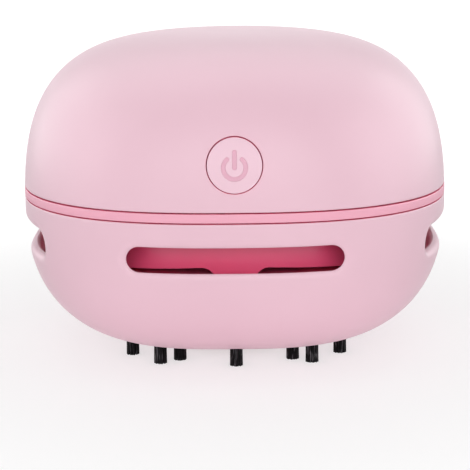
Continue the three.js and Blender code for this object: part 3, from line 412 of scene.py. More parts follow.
class Shell:
    """A rounded-square shell whose four sides may have an opening with a rolled lip."""

    def __init__(self, section, spans, top, bottom, rows):
        self.section = section
        self.spans = spans
        self.heights = [top + (bottom - top) * i / rows for i in range(rows + 1)]
        self.columns = {side: 2 * max(8, round(spans[side] / 0.85)) for side in SIDE_ORDER}

    def surface(self, side, along, height, inset=0.0, sunk=0.0):
        half, power = self.section(height, inset)
        return on_side(side, along, reach(half, power, along) - sunk, height)

    def places(self, side):
        """Places of the columns along one side."""
        count, span = self.columns[side], self.spans[side]
        return [-span + 2 * span * i / count for i in range(count + 1)]

    def row(self, height, inset=0.0):
        """One row of points all round, with straight columns on the sides."""
        half, power = self.section(height, inset)
        points = []
        for k, side in enumerate(SIDE_ORDER):
            following = SIDE_ORDER[(k + 1) % 4]
            places = self.places(side)
            points.extend(self.surface(side, s, height, inset) for s in places[:-1])
            end = self.surface(side, places[-1], height, inset)
            start = self.surface(following, -self.spans[following], height, inset)
            first = math.atan2(end[1], end[0])
            turn_by = (math.atan2(start[1], start[0]) - first) % (2 * math.pi)
            for j in range(CORNER_COLUMNS):
                points.append(plan_point(half, power, first + turn_by * j / CORNER_COLUMNS, height))
        return points

    def angles(self, height, inset=0.0):
        """Plan angles of the columns at one height."""
        return [math.atan2(y, x) for x, y, _ in self.row(height, inset)]

    def first_column(self, side):
        before = SIDE_ORDER[:SIDE_ORDER.index(side)]
        return sum(self.columns[s] + CORNER_COLUMNS for s in before)

    def middle(self, skin, openings, inset=0.0):
        """The rows that hold the openings, with those left out of the grid."""
        open_columns = set()
        for side in openings:
            first = self.first_column(side)
            open_columns |= set(range(first, first + self.columns[side]))
        skin.strip([self.row(z, inset) for z in self.heights], skip=open_columns)

    def frame_loop(self, side):
        """The [along, height] border of one side's opening field."""
        places, heights, span = self.places(side), self.heights, self.spans[side]
        loop = [(s, heights[-1]) for s in places]
        loop += [(span, z) for z in reversed(heights[1:-1])]
        loop += [(s, heights[0]) for s in reversed(places)]
        loop += [(-span, z) for z in heights[1:-1]]
        return loop

    def opening(self, skin, side, half_length, half_height, centre, lip, wall, tail=None):
        """One opening: its field outside, its rolled lip, its wall, and its field inside."""
        core = half_length - half_height
        loop = self.frame_loop(side)

        def edge(point, extra):
            s, z = point
            q = min(max(s, -core), core)
            ds, dz = s - q, z - centre
            far = math.hypot(ds, dz)
            return q + ds / far * (half_height + extra), centre + dz / far * (half_height + extra)

        def field(extra, share, inset):
            ring = []
            for point in loop:
                s, z = edge(point, extra)
                s, z = s + (point[0] - s) * share, z + (point[1] - z) * share
                ring.append(self.surface(side, s, z, inset))
            return ring

        shares = (1.0, 0.82, 0.64, 0.48, 0.34, 0.22, 0.12, 0.05, 0.0)
        lip_reach, lip_depth, lip_turn = lip
        rings = [field(lip_reach, share, 0.0) for share in shares]
        steps = 10
        for i in range(1, steps + 1):
            roll = lip_turn * i / steps
            extra = lip_reach * (1 - math.sin(roll) / math.sin(lip_turn))
            sunk = lip_depth * (1 - math.cos(roll)) / (1 - math.cos(lip_turn))
            rings.append([self.surface(side, *edge(point, extra), 0.0, sunk) for point in loop])
        if lip_turn < math.pi / 2:
            for extra, deeper in ((-0.05, 0.08), (-0.04, 0.16)):
                sunk = lip_depth + deeper
                rings.append([self.surface(side, *edge(point, extra), 0.0, sunk) for point in loop])
        inner_extra = 0.45 if lip_turn < math.pi / 2 else 0.0
        if tail:
            depth, inner_extra = tail
            for extra in (0.0, inner_extra):
                places = [edge(point, extra) for point in loop]
                rings.append([on_side(side, along, depth, height) for along, height in places])
        rings.extend(field(inner_extra, share, wall) for share in (0.0, 0.1, 0.3, 0.6, 1.0))
        skin.strip(rings)


def level_row(angles, half, power, height):
    """One row of a shell at fixed plan angles."""
    return [plan_point(half, power, angle, height) for angle in angles]


def top_cover():
    """Dome with its button hole and guide, its charging port and light hole."""
    shell = Shell(dome_section, DOME_SPANS, *DOME_FIELD)
    skin = Skin()
    for inset in (0.0, SHELL_WALL):
        shell.middle(skin, ("front", "back"), inset)
        angles = shell.angles(shell.heights[0], inset)
        first = dome_angle(shell.heights[0], inset)
        rows = []
        steps = 46
        for i in range(steps + 1):
            angle = math.pi / 2 - (math.pi / 2 - first) * (1 - i / steps) ** 1.7
            half, height, power = dome_profile(angle, inset)
            rows.append(level_row(angles, max(half, 0.0), power, height))
        rows.append([(0.0, 0.0, DOME_HEIGHT - inset)] * len(angles))
        skin.strip(rows)
    low = shell.heights[-1]
    angles, inner_angles = shell.angles(low), shell.angles(low, SHELL_WALL)
    rows = [shell.row(low)]
    for height in (1.1, 0.7):
        rows.append(level_row(angles, *dome_section(height), height))
    for s, c in quarter_turn(4):
        height = SEAM_HALF_GAP + EDGE_ROUND * (1 - s)
        half, power = dome_section(height)
        rows.append(level_row(angles, half - EDGE_ROUND * (1 - c), power, height))
    for height in (SEAM_HALF_GAP, 0.8):
        rows.append(level_row(inner_angles, *dome_section(height, SHELL_WALL), height))
    rows.append(shell.row(low, SHELL_WALL))
    skin.strip(rows)
    shell.opening(skin, "front", BUTTON_HOLE, BUTTON_HOLE - 0.001, BUTTON_HEIGHT, ROUND_EDGE, SHELL_WALL,
                  (-GUIDE_BACK, GUIDE_WALL))
    shell.opening(skin, "back", PORT_HALF_LENGTH, PORT_HALF_HEIGHT, PORT_HEIGHT, PORT_EDGE, SHELL_WALL)
    cover = skin.piece("dome_cover")
    hole = slab("light_hole", disc(LIGHT_HOLE, (-LIGHT_ASIDE, PORT_HEIGHT)), math.pi / 2, 36.0, 44.0)
    carve(cover, [hole])
    smooth(cover)
    return cover


def trim_band():
    """The band between the two shells, with softened edges."""
    half, _ = dome_section(0.0)
    rounding = 0.16
    outline = [(half - rounding * (1 - s), -SEAM_HALF_GAP - rounding * (1 - c)) for s, c in quarter_turn(4)]
    outline += [(half - rounding * (1 - c), BAND_BOTTOM + rounding * (1 - s)) for s, c in quarter_turn(4)]
    outline += [(half - BAND_DEPTH, BAND_BOTTOM), (half - BAND_DEPTH, -SEAM_HALF_GAP)]
    angles = [2 * math.pi * i / 300 for i in range(300)]
    skin = Skin()
    skin.strip([level_row(angles, out, BELT_POWER, z) for out, z in [*outline, outline[0]]])
    return skin.piece("belt_band", SOFT_CREASE)


def tuft_spots():
    """Every tuft's place on the base, quarter by quarter."""
    quarters = []
    for quarter, (sx, sy) in enumerate(((1, -1), (1, 1), (-1, 1), (-1, -1))):
        start = math.radians(-90 + quarter * 90)
        spots = [(AXIS_TUFT * math.cos(start), AXIS_TUFT * math.sin(start))]
        spots += [(sx * x, sy * y) for x, y in QUARTER_TUFTS]
        quarters.append(spots)
    return quarters


def eased_depth(height):
    """The belly's height, eased into the flat base."""
    width = 0.5
    past = min(max(0.5 - (height + BASE_DEPTH) / (2 * width), 0.0), 1.0)
    return height * (1 - past) - BASE_DEPTH * past + width * past * (1 - past)


def lower_cover():
    """Belly with its four air slots, flat base, inlet seat and tuft holes."""
    shell = Shell(belly_section, BELLY_SPANS, *BELLY_FIELD)
    skin = Skin()
    for inset in (0.0, SHELL_WALL):
        shell.middle(skin, SIDE_ORDER, inset)
    top, low = shell.heights[0], shell.heights[-1]
    angles, inner_angles = shell.angles(top), shell.angles(top, SHELL_WALL)
    half, power = belly_section(RIM_TOP)
    rows = [
        level_row(angles, half - EDGE_ROUND * (1 - s), power, RIM_TOP - EDGE_ROUND * (1 - c))
        for s, c in quarter_turn(4)
    ]
    for height in (-2.7, -3.2):
        rows.append(level_row(angles, *belly_section(height), height))
    skin.strip([*rows, shell.row(top)])
    inner = [level_row(inner_angles, *belly_section(RIM_TOP, SHELL_WALL), height) for height in (RIM_TOP, -3.0)]
    skin.strip([rows[0], *inner, shell.row(top, SHELL_WALL)])

    angles = shell.angles(low)
    first, last = belly_angle(low), belly_angle(-BASE_DEPTH)
    rows = []
    for i in range(45):
        half, height, power = belly_profile(first + (last - first) * i / 44)
        rows.append(level_row(angles, half, power, eased_depth(height)))
    for radius, height in ((INLET_SEAT + 0.5, -BASE_DEPTH), (INLET_SEAT + 0.15, -BASE_DEPTH),
                           (INLET_SEAT + 0.04, -BASE_DEPTH + 0.04), (INLET_SEAT, -BASE_DEPTH + 0.15),
                           (INLET_SEAT, INLET_STEP), (INLET_HOLE, INLET_STEP)):
        rows.append(level_row(angles, radius, 2.0, height))
    inner_angles = shell.angles(low, SHELL_WALL)
    rows.append(level_row(inner_angles, INLET_HOLE, 2.0, BRUSH_FLOOR))
    for height in (BRUSH_FLOOR, CUP_UNDERSIDE):
        rows.append(level_row(inner_angles, BRUSH_OUTER, BRUSH_POWER, height))
    first, last = belly_angle(low, SHELL_WALL), belly_angle(CUP_UNDERSIDE, SHELL_WALL)
    for i in range(25):
        half, height, power = belly_profile(last + (first - last) * i / 24, SHELL_WALL)
        rows.append(level_row(inner_angles, half, power, height))
    skin.strip(rows)
    for side in SIDE_ORDER:
        slot = (SLOT_FRONT_HALF, SLOT_FRONT_HALF_HEIGHT, SLOT_FRONT_CENTRE, SLOT_DISH)
        if side in ("left", "right"):
            slot = (SLOT_SIDE_HALF, SLOT_HALF_HEIGHT, SLOT_CENTRE, SLOT_LIP)
        shell.opening(skin, side, *slot, SHELL_WALL)
    cover = skin.piece("belly_cover")
    holes = [
        upright(f"tuft_hole_{i}", disc(TUFT_HOLE, spot, 28), -BASE_DEPTH - 2, BRUSH_FLOOR + 1)
        for i, spot in enumerate(sum(tuft_spots(), []))
    ]
    carve(cover, holes)
    smooth(cover)
    return cover


# ---- button ----

ICON_DROP = -0.4
ICON_RADIUS = 2.0
ICON_HALF_STROKE = 0.385
ICON_HALF_OPENING = math.radians(42.0)
ICON_DEPTH = 0.2
ICON_EASE = 0.16
ICON_BAR = (0.035, 2.765)


def symbol_distance(s, t):
    """Distance to the power symbol's stroke, below zero inside it, from the button's centre."""
    x, y = s, t - ICON_DROP
    aside = abs(math.atan2(x, y))
    if aside >= ICON_HALF_OPENING:
        ring = abs(math.hypot(x, y) - ICON_RADIUS)
    else:
        turn = ICON_HALF_OPENING
        ring = math.hypot(abs(x) - ICON_RADIUS * math.sin(turn), y - ICON_RADIUS * math.cos(turn))
    low, high = ICON_BAR
    bar = math.hypot(x, y - min(max(y, low), high))
    return min(ring, bar) - ICON_HALF_STROKE


def symbol_depth(along, up):
    """How deep the button's face is sunk at a place."""
    sunk = min(max(0.5 - symbol_distance(along, up) / ICON_EASE, 0.0), 1.0)
    return ICON_DEPTH * sunk * sunk * (3 - 2 * sunk)


def button_cap():
    """The button: a face that follows the dome with a sunk power symbol, and its flange behind."""
    directions = circle(320)

    def face_row(radius, rounded=0.0):
        row = []
        for c, s in directions:
            along, up = radius * c, radius * s
            half, power = dome_section(BUTTON_HEIGHT + up, -BUTTON_PROUD)
            sunk = symbol_depth(along, up) + rounded
            row.append((along, -reach(half, power, along) + sunk, BUTTON_HEIGHT + up))
        return row

    rings = 110
    rows = [face_row((BUTTON_RADIUS - BUTTON_EDGE) * k / rings) for k in range(rings + 1)]
    for s, c in quarter_turn(8)[1:]:
        rows.append(face_row(BUTTON_RADIUS - BUTTON_EDGE * (1 - s), BUTTON_EDGE * (1 - c)))
    front = GUIDE_BACK + 0.3
    back = front + FLANGE_DEPTH
    for radius, y in ((BUTTON_RADIUS, front), (FLANGE_RADIUS, front), (FLANGE_RADIUS, back), (0.0, back)):
        rows.append([(radius * c, y, BUTTON_HEIGHT + radius * s) for c, s in directions])
    skin = Skin()
    skin.strip(rows)
    return skin.piece("button_cap", SOFT_CREASE)


def shade(piece, finishes, choose):
    """Gives a piece its finishes, each face the one that its middle in millimetres asks for."""
    for finish in finishes:
        piece.data.materials.append(finish)
    for polygon in piece.data.polygons:
        x, y, z = polygon.center / MM
        polygon.material_index = choose(x, y, z - STAND_HEIGHT, polygon.normal)
    return piece


def button_symbol_and_shade_index(x, y, z, _):
    """0 on the button's face, 1 in the sunk symbol, 2 with painted shade on the side wall behind the edge."""
    along, up = x, z - BUTTON_HEIGHT
    away = math.hypot(along, up)
    if y < GUIDE_BACK and away < BUTTON_RADIUS - 1:
        return int(symbol_distance(along, up) < 0)
    return 2 if away > BUTTON_RADIUS - 0.02 else 0


def dome_seam_shade_index(x, y, z, normal):
    """0 on the dome, 1 with painted shade on the faces inside the seam and in the button's hole."""
    in_hole = y < 0 and math.hypot(x, z - BUTTON_HEIGHT) < BUTTON_HOLE + 0.02
    return int(in_hole or (z < SEAM_HALF_GAP + 0.02 and normal.z < -0.9))


def rim_seam_shade_index(_x, _y, z, normal):
    """0 on a shell, 1 with painted shade on the level faces inside a seam."""
    return int(abs(normal.z) > 0.9 and z > -2.1)


# ---- fan housing, cup and inlet ----

def window_outline(width, side):
    """A low air window that curves up from its pillar end and falls a little towards the other."""
    pillar, far = -side * width / 2, side * width / 2
    outline = [(pillar, WINDOW_BOTTOM)]
    for i in range(1, 9):
        share = i / 8
        along = 2 * share * (1 - share) / 3 + share * share
        rise = 1 - (1 - share) ** 2
        height = WINDOW_BOTTOM + (WINDOW_TOP - WINDOW_BOTTOM) * rise
        outline.append((pillar + side * WINDOW_RAMP * along, height))
    end = WINDOW_TOP - WINDOW_SLOPE
    return outline + [(far - side * 0.3, end), (far, end - 0.3), (far, WINDOW_BOTTOM)]


def thread_lugs():
    """Four lugs that rise along the skirt's outside, one to a quarter."""
    lugs = Skin()
    for i in range(4):
        rows = []
        for k in range(13):
            degrees = LUG_START + LUG_SPAN * k / 12
            angle = math.radians(90 * i + degrees)
            high = LUG_HEIGHT + LUG_RISE * math.radians(degrees)
            rows.append([
                (r * math.cos(angle), r * math.sin(angle), z)
                for r, z in ((30.0, -20.1), (LUG_REACH, -20.1), (LUG_REACH, high), (30.0, high))
            ])
        capped(lugs, rows)
    return lugs.piece("lugs")


def fan_wall():
    """The fan housing: wall with air windows, floor with the fan's eye, and the threaded skirt."""
    outer, inner, soft = FAN_WALL_RADIUS, FAN_WALL_RADIUS - FAN_WALL, FAN_EDGE
    housing = turned("fan_shroud", [
        (FAN_EYE, FAN_UNDERSIDE + soft), (FAN_EYE + soft, FAN_UNDERSIDE),
        (SKIRT_INNER, FAN_UNDERSIDE), (SKIRT_INNER, SKIRT_BOTTOM + soft), (SKIRT_INNER + soft, SKIRT_BOTTOM),
        (SKIRT_OUTER - soft, SKIRT_BOTTOM), (SKIRT_OUTER, SKIRT_BOTTOM + soft), (SKIRT_OUTER, FAN_UNDERSIDE),
        (outer - soft, FAN_UNDERSIDE), (outer, FAN_UNDERSIDE + soft), (outer, FLAT_BOTTOM - 0.1),
        (outer, FLAT_BOTTOM), (outer, FLAT_TOP), (outer, FLAT_TOP + 1.8), (outer, FAN_TOP - soft),
        (outer - soft, FAN_TOP), (inner + soft, FAN_TOP), (inner, FAN_TOP - soft), (inner, FAN_FLOOR),
        (FAN_EYE + soft, FAN_FLOOR), (FAN_EYE, FAN_FLOOR - soft),
    ], 160)
    corners = [math.radians(45 + 90 * i) for i in range(4)]
    spots = [(EAR_PLACE * math.cos(angle), EAR_PLACE * math.sin(angle)) for angle in corners]
    ears = [upright(f"ear_{i}", disc(EAR_RADIUS, spot, 40), *EAR_HEIGHTS) for i, spot in enumerate(spots)]
    carve(housing, ears, "UNION")
    pitch = 2 * math.pi / WINDOW_COUNT
    width = 2 * FAN_WALL_RADIUS * math.sin(pitch / 2) - WINDOW_PILLAR
    cutters = []
    for i in range(WINDOW_COUNT):
        outline = window_outline(width, 1 if i % 2 == 0 else -1)
        cutters.append(slab(f"window_{i}", outline, (i + 0.5) * pitch, 30.0, 37.0))
    cutters += [upright(f"ear_hole_{i}", disc(EAR_HOLE, spot, 24), -3.0, 1.0) for i, spot in enumerate(spots)]
    near, clear, low, high = 0.01, inner + 0.01, FAN_FLOOR + 0.01, 0.5
    cutters.append(turned("clear_inside", [(near, low), (clear, low), (clear, high), (near, high)], 160))
    carve(housing, cutters)
    carve(housing, [thread_lugs()], "UNION")
    square_up(housing)
    smooth(housing, PLAIN_CREASE)
    return wall_normals(housing, (outer, clear))


def inlet_lip():
    """The inlet's flanged tube, with rounded edges."""
    mouth, edge, soft = 0.8, 0.3, 0.2
    outline = [(LIP_BORE + mouth * (1 - s), LIP_BOTTOM + mouth * (1 - c)) for s, c in quarter_turn(6)]
    outline += [
        (LIP_BORE, LIP_TOP - soft), (LIP_BORE + soft, LIP_TOP), (LIP_TUBE - soft, LIP_TOP),
        (LIP_TUBE, LIP_TOP - soft), (LIP_TUBE, LIP_SEAT), (LIP_RIM - edge, LIP_SEAT),
        (LIP_RIM, LIP_SEAT - soft), (LIP_RIM, LIP_BOTTOM + edge),
    ]
    outline += [(LIP_RIM - edge * (1 - c), LIP_BOTTOM + edge * (1 - s)) for s, c in quarter_turn(4)[1:]]
    return turned("inlet_lip", outline, 128)


# ---- bristles ----

TUFT_RINGS = 4
TUFT_PITCH = 0.3
STRAND_RADIUS = 0.135
STRAND_ROOT = -27.0
STRAND_LEAN = 0.008
STRAND_SHAKE = 0.05
STRIP_RADII = (17.9, 25.1)
STRIP_HEIGHTS = (-27.7, -26.5)
STRIP_START = -96
STRIP_SPAN = 72


def tree_with(name, inputs):
    """A Geometry Nodes tree with a geometry in and out and named inputs."""
    tree = bpy.data.node_groups.new(name, "GeometryNodeTree")
    tree.interface.new_socket("Geometry", in_out="INPUT", socket_type="NodeSocketGeometry")
    tree.interface.new_socket("Geometry", in_out="OUTPUT", socket_type="NodeSocketGeometry")
    for label, kind in inputs:
        tree.interface.new_socket(label, in_out="INPUT", socket_type=kind)
    return tree, tree.nodes.new("NodeGroupInput"), tree.nodes.new("NodeGroupOutput")


def set_inputs(modifier, values):
    """Sets a modifier's named inputs through their sockets' identifiers."""
    for item in modifier.node_group.interface.items_tree:
        if item.item_type == "SOCKET" and item.in_out == "INPUT" and item.name in values:
            modifier[item.identifier] = values[item.name]


def bristle_tree():
    """Strands hung on points: each a thin rod, leaning as its point says and cut a little uneven."""
    tree, given, result = tree_with("bristle_strands", (
        ("Strand Length", "NodeSocketFloat"), ("Strand Radius", "NodeSocketFloat"),
        ("Shortest", "NodeSocketFloat"), ("Seed", "NodeSocketInt"), ("Nylon", "NodeSocketMaterial"),
    ))
    nodes, link = tree.nodes, tree.links.new
    rod = set_values(nodes.new("GeometryNodeMeshCylinder"), {"Vertices": 6, "Side Segments": 3})
    rod.fill_type = "TRIANGLE_FAN"
    link(given.outputs["Strand Length"], rod.inputs["Depth"])
    link(given.outputs["Strand Radius"], rod.inputs["Radius"])
    half = nodes.new("ShaderNodeMath")
    half.operation = "MULTIPLY"
    half.inputs[1].default_value = -0.5
    link(given.outputs["Strand Length"], half.inputs[0])
    lowered = nodes.new("ShaderNodeCombineXYZ")
    link(half.outputs[0], lowered.inputs["Z"])
    hung = nodes.new("GeometryNodeTransform")
    link(rod.outputs["Mesh"], hung.inputs["Geometry"])
    link(lowered.outputs[0], hung.inputs["Translation"])
    lean = nodes.new("GeometryNodeInputNamedAttribute")
    lean.data_type = "FLOAT_VECTOR"
    lean.inputs["Name"].default_value = "lean"
    uneven = nodes.new("FunctionNodeRandomValue")
    uneven.data_type = "FLOAT"
    link(given.outputs["Shortest"], uneven.inputs[2])
    uneven.inputs[3].default_value = 1.0
    link(given.outputs["Seed"], uneven.inputs["Seed"])
    size = set_values(nodes.new("ShaderNodeCombineXYZ"), {"X": 1.0, "Y": 1.0})
    link(uneven.outputs[1], size.inputs["Z"])
    placed = nodes.new("GeometryNodeInstanceOnPoints")
    link(given.outputs["Geometry"], placed.inputs["Points"])
    link(hung.outputs["Geometry"], placed.inputs["Instance"])
    link(lean.outputs["Attribute"], placed.inputs["Rotation"])
    link(size.outputs[0], placed.inputs["Scale"])
    real = nodes.new("GeometryNodeRealizeInstances")
    link(placed.outputs["Instances"], real.inputs["Geometry"])
    dyed = nodes.new("GeometryNodeSetMaterial")
    link(real.outputs["Geometry"], dyed.inputs["Geometry"])
    link(given.outputs["Nylon"], dyed.inputs["Material"])
    link(dyed.outputs["Geometry"], result.inputs["Geometry"])
    return tree


def tuft_roots(name, spots):
    """Points where the strands of a quarter's tufts start, with the lean of each."""
    points, leans = [], []
    for x, y in spots:
        for q in range(-TUFT_RINGS, TUFT_RINGS + 1):
            for r in range(-TUFT_RINGS, TUFT_RINGS + 1):
                dx, dy = TUFT_PITCH * (q + r / 2), TUFT_PITCH * r * math.sin(math.pi / 3)
                if math.hypot(dx, dy) <= TUFT_PITCH * TUFT_RINGS * 0.93:
                    shake = noise.noise_vector(Vector((x + dx * 3.1, y + dy * 3.7, 1.0)) * 5)
                    across, along = x + dx + shake.x * STRAND_SHAKE, y + dy + shake.y * STRAND_SHAKE
                    points.append((across * MM, along * MM, (STRAND_ROOT + STAND_HEIGHT) * MM))
                    leans.extend((STRAND_LEAN * (dy + shake.y), -STRAND_LEAN * (dx + shake.x), 0.0))
    mesh = bpy.data.meshes.new(name)
    mesh.from_pydata(points, [], [])
    mesh.attributes.new("lean", "FLOAT_VECTOR", "POINT").data.foreach_set("vector", leans)
    return in_scene(name, mesh)


def bristles(tree, quarter, spots, nylon):
    """One quarter's tufts as a plain mesh."""
    piece = tuft_roots(f"bristle_tufts_{quarter + 1}", spots)
    grown = piece.modifiers.new("strands", "NODES")
    grown.node_group = tree
    set_inputs(grown, {
        "Strand Length": (STRAND_ROOT + STAND_HEIGHT) * MM,
        "Strand Radius": STRAND_RADIUS * MM,
        "Shortest": 0.992,
        "Seed": 11 + quarter,
        "Nylon": nylon,
    })
    as_plain_mesh(piece)
    smooth(piece, SOFT_CREASE)
    return piece


def brush_strip(quarter):
    """The backing that holds one quarter's tufts."""
    (near, far), (low, high) = STRIP_RADII, STRIP_HEIGHTS
    outline = ((near, low), (far, low), (far, high), (near, high))
    rows = []
    for k in range(49):
        angle = math.radians(STRIP_START + 90 * quarter + STRIP_SPAN * k / 48)
        rows.append([plan_point(half, BRUSH_POWER, angle, z) for half, z in outline])
    skin = Skin()
    capped(skin, rows)
    return soften(skin.piece(f"brush_strip_{quarter + 1}", PLAIN_CREASE), 0.2)


# ---- finishes ----

def colour(red, green, blue):
    """An sRGB colour from 0 to 255 as the shader's linear one."""
    def linear(value):
        value /= 255
        return value / 12.92 if value <= 0.04045 else ((value + 0.055) / 1.055) ** 2.4
    return linear(red), linear(green), linear(blue), 1.0


def set_values(node, values):
    """Sets some of a node's inputs."""
    for socket, value in values.items():
        node.inputs[socket].default_value = value
    return node


def tied(node, link, *sources):
    """A node's first output, with its first inputs tied to sources."""
    for k, source in enumerate(sources):
        link(source, node.inputs[k])
    return node.outputs[0]


class Finish:
    """A material in the making, with its shader and its object coordinates."""

    def __init__(self, name, values):
        self.material = bpy.data.materials.new(name)
        self.material.use_nodes = True
        self.nodes = self.material.node_tree.nodes
        self.link = self.material.node_tree.links.new
        self.shader = set_values(self.nodes["Principled BSDF"], values)
        self.spots = self.nodes.new("ShaderNodeTexCoord").outputs["Object"]

    def texture(self, kind, values, stretch=None):
        """A texture over the object, stretched where asked."""
        texture = set_values(self.nodes.new(kind), values)
        spots = self.spots
        if stretch:
            mapping = set_values(self.nodes.new("ShaderNodeMapping"), {"Scale": stretch})
            self.link(spots, mapping.inputs["Vector"])
            spots = mapping.outputs["Vector"]
        self.link(spots, texture.inputs["Vector"])
        return texture

    def cloud(self, scale, detail=2.0, stretch=None):
        """The value of a noise texture."""
        return self.texture("ShaderNodeTexNoise", {"Scale": scale, "Detail": detail}, stretch).outputs["Fac"]

    def tint(self, value, first, second, low=0.0, high=1.0):
        """Colours the shader between two sRGB colours, by a value between two limits."""
        ramp = self.nodes.new("ShaderNodeValToRGB")
        for stop, place, shown in zip(ramp.color_ramp.elements, (low, high), (first, second)):
            stop.position = place
            stop.color = colour(*shown)
        self.link(value, ramp.inputs["Fac"])
        self.link(ramp.outputs["Color"], self.shader.inputs["Base Color"])

    def mottle(self, first, second, scale):
        """A slow drift between two near colours over the surface."""
        self.tint(self.cloud(scale, 3.0), first, second, 0.3, 0.7)

    def relief(self, value, depth, strength=1.0):
        """Bumps the surface by a value, with its depth in millimetres."""
        bump = set_values(self.nodes.new("ShaderNodeBump"), {"Strength": strength, "Distance": depth * MM})
        self.link(value, bump.inputs["Height"])
        self.link(bump.outputs["Normal"], self.shader.inputs["Normal"])

    def roughen(self, value, low, high):
        """Sets the roughness between two limits by a value."""
        span = set_values(self.nodes.new("ShaderNodeMapRange"), {"To Min": low, "To Max": high})
        self.link(value, span.inputs["Value"])
        self.link(span.outputs["Result"], self.shader.inputs["Roughness"])


def moulded(name, first, second, rough=(0.38, 0.46), grain=(3000, 0.02, 0.12), bloom=0.0, gloss=0.0):
    """Moulded satin plastic, with a soft pale bloom at its edges or a coat of gloss where asked."""
    finish = Finish(name, {
        "IOR": 1.48, "Sheen Weight": bloom, "Sheen Roughness": 0.4, "Coat Weight": gloss, "Coat Roughness": 0.3,
    })
    finish.mottle(first, second, 35)
    scale, depth, strength = grain
    finish.relief(finish.cloud(scale), depth, strength)
    finish.roughen(finish.cloud(scale / 12, 4.0), *rough)
    return finish.material


def metal(name, first, second, rough=(0.22, 0.36)):
    """Drawn metal with fine lines across one way."""
    finish = Finish(name, {"Metallic": 1.0})
    finish.mottle(first, second, 120)
    lines = finish.cloud(900, 4.0, (1, 1, 12))
    finish.roughen(lines, *rough)
    finish.relief(lines, 0.01, 0.15)
    return finish.material


def nylon_finish():
    """Black nylon strands, each a little different along its length: grey streaks along them are partly a random
    tone and partly painted sheen.
    """
    finish = Finish("bristle_nylon", {"Specular IOR Level": 0.2})
    streak_and_sheen = finish.cloud(2600, stretch=(1.0, 1.0, 0.15))
    # Grey streaks along the strands: partly painted sheen.
    finish.tint(streak_and_sheen, (5, 4, 6), (104, 102, 106), 0.56, 0.7)
    finish.roughen(streak_and_sheen, 0.45, 0.65)
    return finish.material


def woven_finish(pitch):
    """Fine woven cloth for the filter's mesh, its pitch in millimetres."""
    finish = Finish("filter_weave", {"Roughness": 0.85})
    waves = []
    for direction in ("X", "Y"):
        wave = finish.texture("ShaderNodeTexWave", {"Scale": 1 / (pitch * MM) / 20})
        wave.wave_type = "BANDS"
        wave.bands_direction = direction
        waves.append(wave.outputs["Fac"])
    product = finish.nodes.new("ShaderNodeMath")
    product.operation = "MULTIPLY"
    weave_relief_and_shade = tied(product, finish.link, *waves)
    # The colour follows the weave's relief: lighter on the raised threads, with painted shade in the low places
    # between them.
    finish.tint(weave_relief_and_shade, (176, 180, 186), (232, 235, 240))
    finish.relief(weave_relief_and_shade, 0.1)
    return finish.material


def cell_finish():
    """Silver laminate of the pouch cell, a little creased."""
    finish = Finish("cell_foil", {"Roughness": 0.32, "Metallic": 0.8})
    finish.mottle((176, 180, 186), (200, 203, 208), 90)
    creases = finish.texture("ShaderNodeTexVoronoi", {"Scale": 160})
    finish.relief(creases.outputs["Distance"], 0.1, 0.3)
    return finish.material


def foam_finish():
    """Open-cell foam."""
    finish = Finish("foam_cells", {"Roughness": 0.95})
    cell_relief_and_shade = finish.texture("ShaderNodeTexVoronoi", {"Scale": 1500}).outputs["Distance"]
    # Darker in the cells' hollows: painted shade.
    finish.tint(cell_relief_and_shade, (40, 41, 44), (92, 94, 98))
    finish.relief(cell_relief_and_shade, 0.3)
    return finish.material


def board_finish():
    """Green solder mask with paler tracks under it."""
    finish = Finish("board_mask", {"Roughness": 0.35})
    tracks = finish.texture("ShaderNodeTexBrick", {
        "Scale": 220, "Mortar Size": 0.06, "Color1": colour(30, 92, 62), "Color2": colour(34, 100, 68),
        "Mortar": colour(70, 142, 98),
    })
    finish.link(tracks.outputs["Color"], finish.shader.inputs["Base Color"])
    finish.relief(tracks.outputs["Fac"], 0.04, 0.4)
    return finish.material


def wound_finish():
    """Enamelled copper wire wound round the armature."""
    finish = Finish("wound_copper", {"Roughness": 0.35, "Metallic": 0.9})
    turn_relief_and_shade = finish.texture("ShaderNodeTexWave", {"Scale": 160, "Distortion": 0.6})
    turn_relief_and_shade.bands_direction = "Z"
    # Darker in the grooves between the turns: painted shade.
    finish.tint(turn_relief_and_shade.outputs["Fac"], (120, 62, 32), (206, 130, 82))
    finish.relief(turn_relief_and_shade.outputs["Fac"], 0.1)
    return finish.material


def lens_finish():
    """Milky clear plastic of the charge light."""
    finish = Finish("light_lens", {"Roughness": 0.18, "Transmission Weight": 0.35})
    finish.mottle((236, 239, 246), (248, 250, 255), 900)
    return finish.material


# ---- put together ----

def wear(piece, material):
    """Gives a piece one finish."""
    piece.data.materials.clear()
    piece.data.materials.append(material)
    return piece


def seat(piece, body, slot, *nodes):
    """Ties a piece to its body and hides what it stands for; the record slot is not used."""
    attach(piece, body)
    if nodes:
        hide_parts(*nodes)


shell_pink = moulded("shell_satin", (235, 194, 208), (239, 198, 212), bloom=0.25)
button_pink = moulded("button_satin", (238, 199, 213), (242, 203, 217))
symbol_pink = moulded("symbol_satin", (226, 172, 192), (230, 177, 196))
band_pink = moulded("band_satin", (243, 172, 192), (246, 177, 197), (0.42, 0.5))
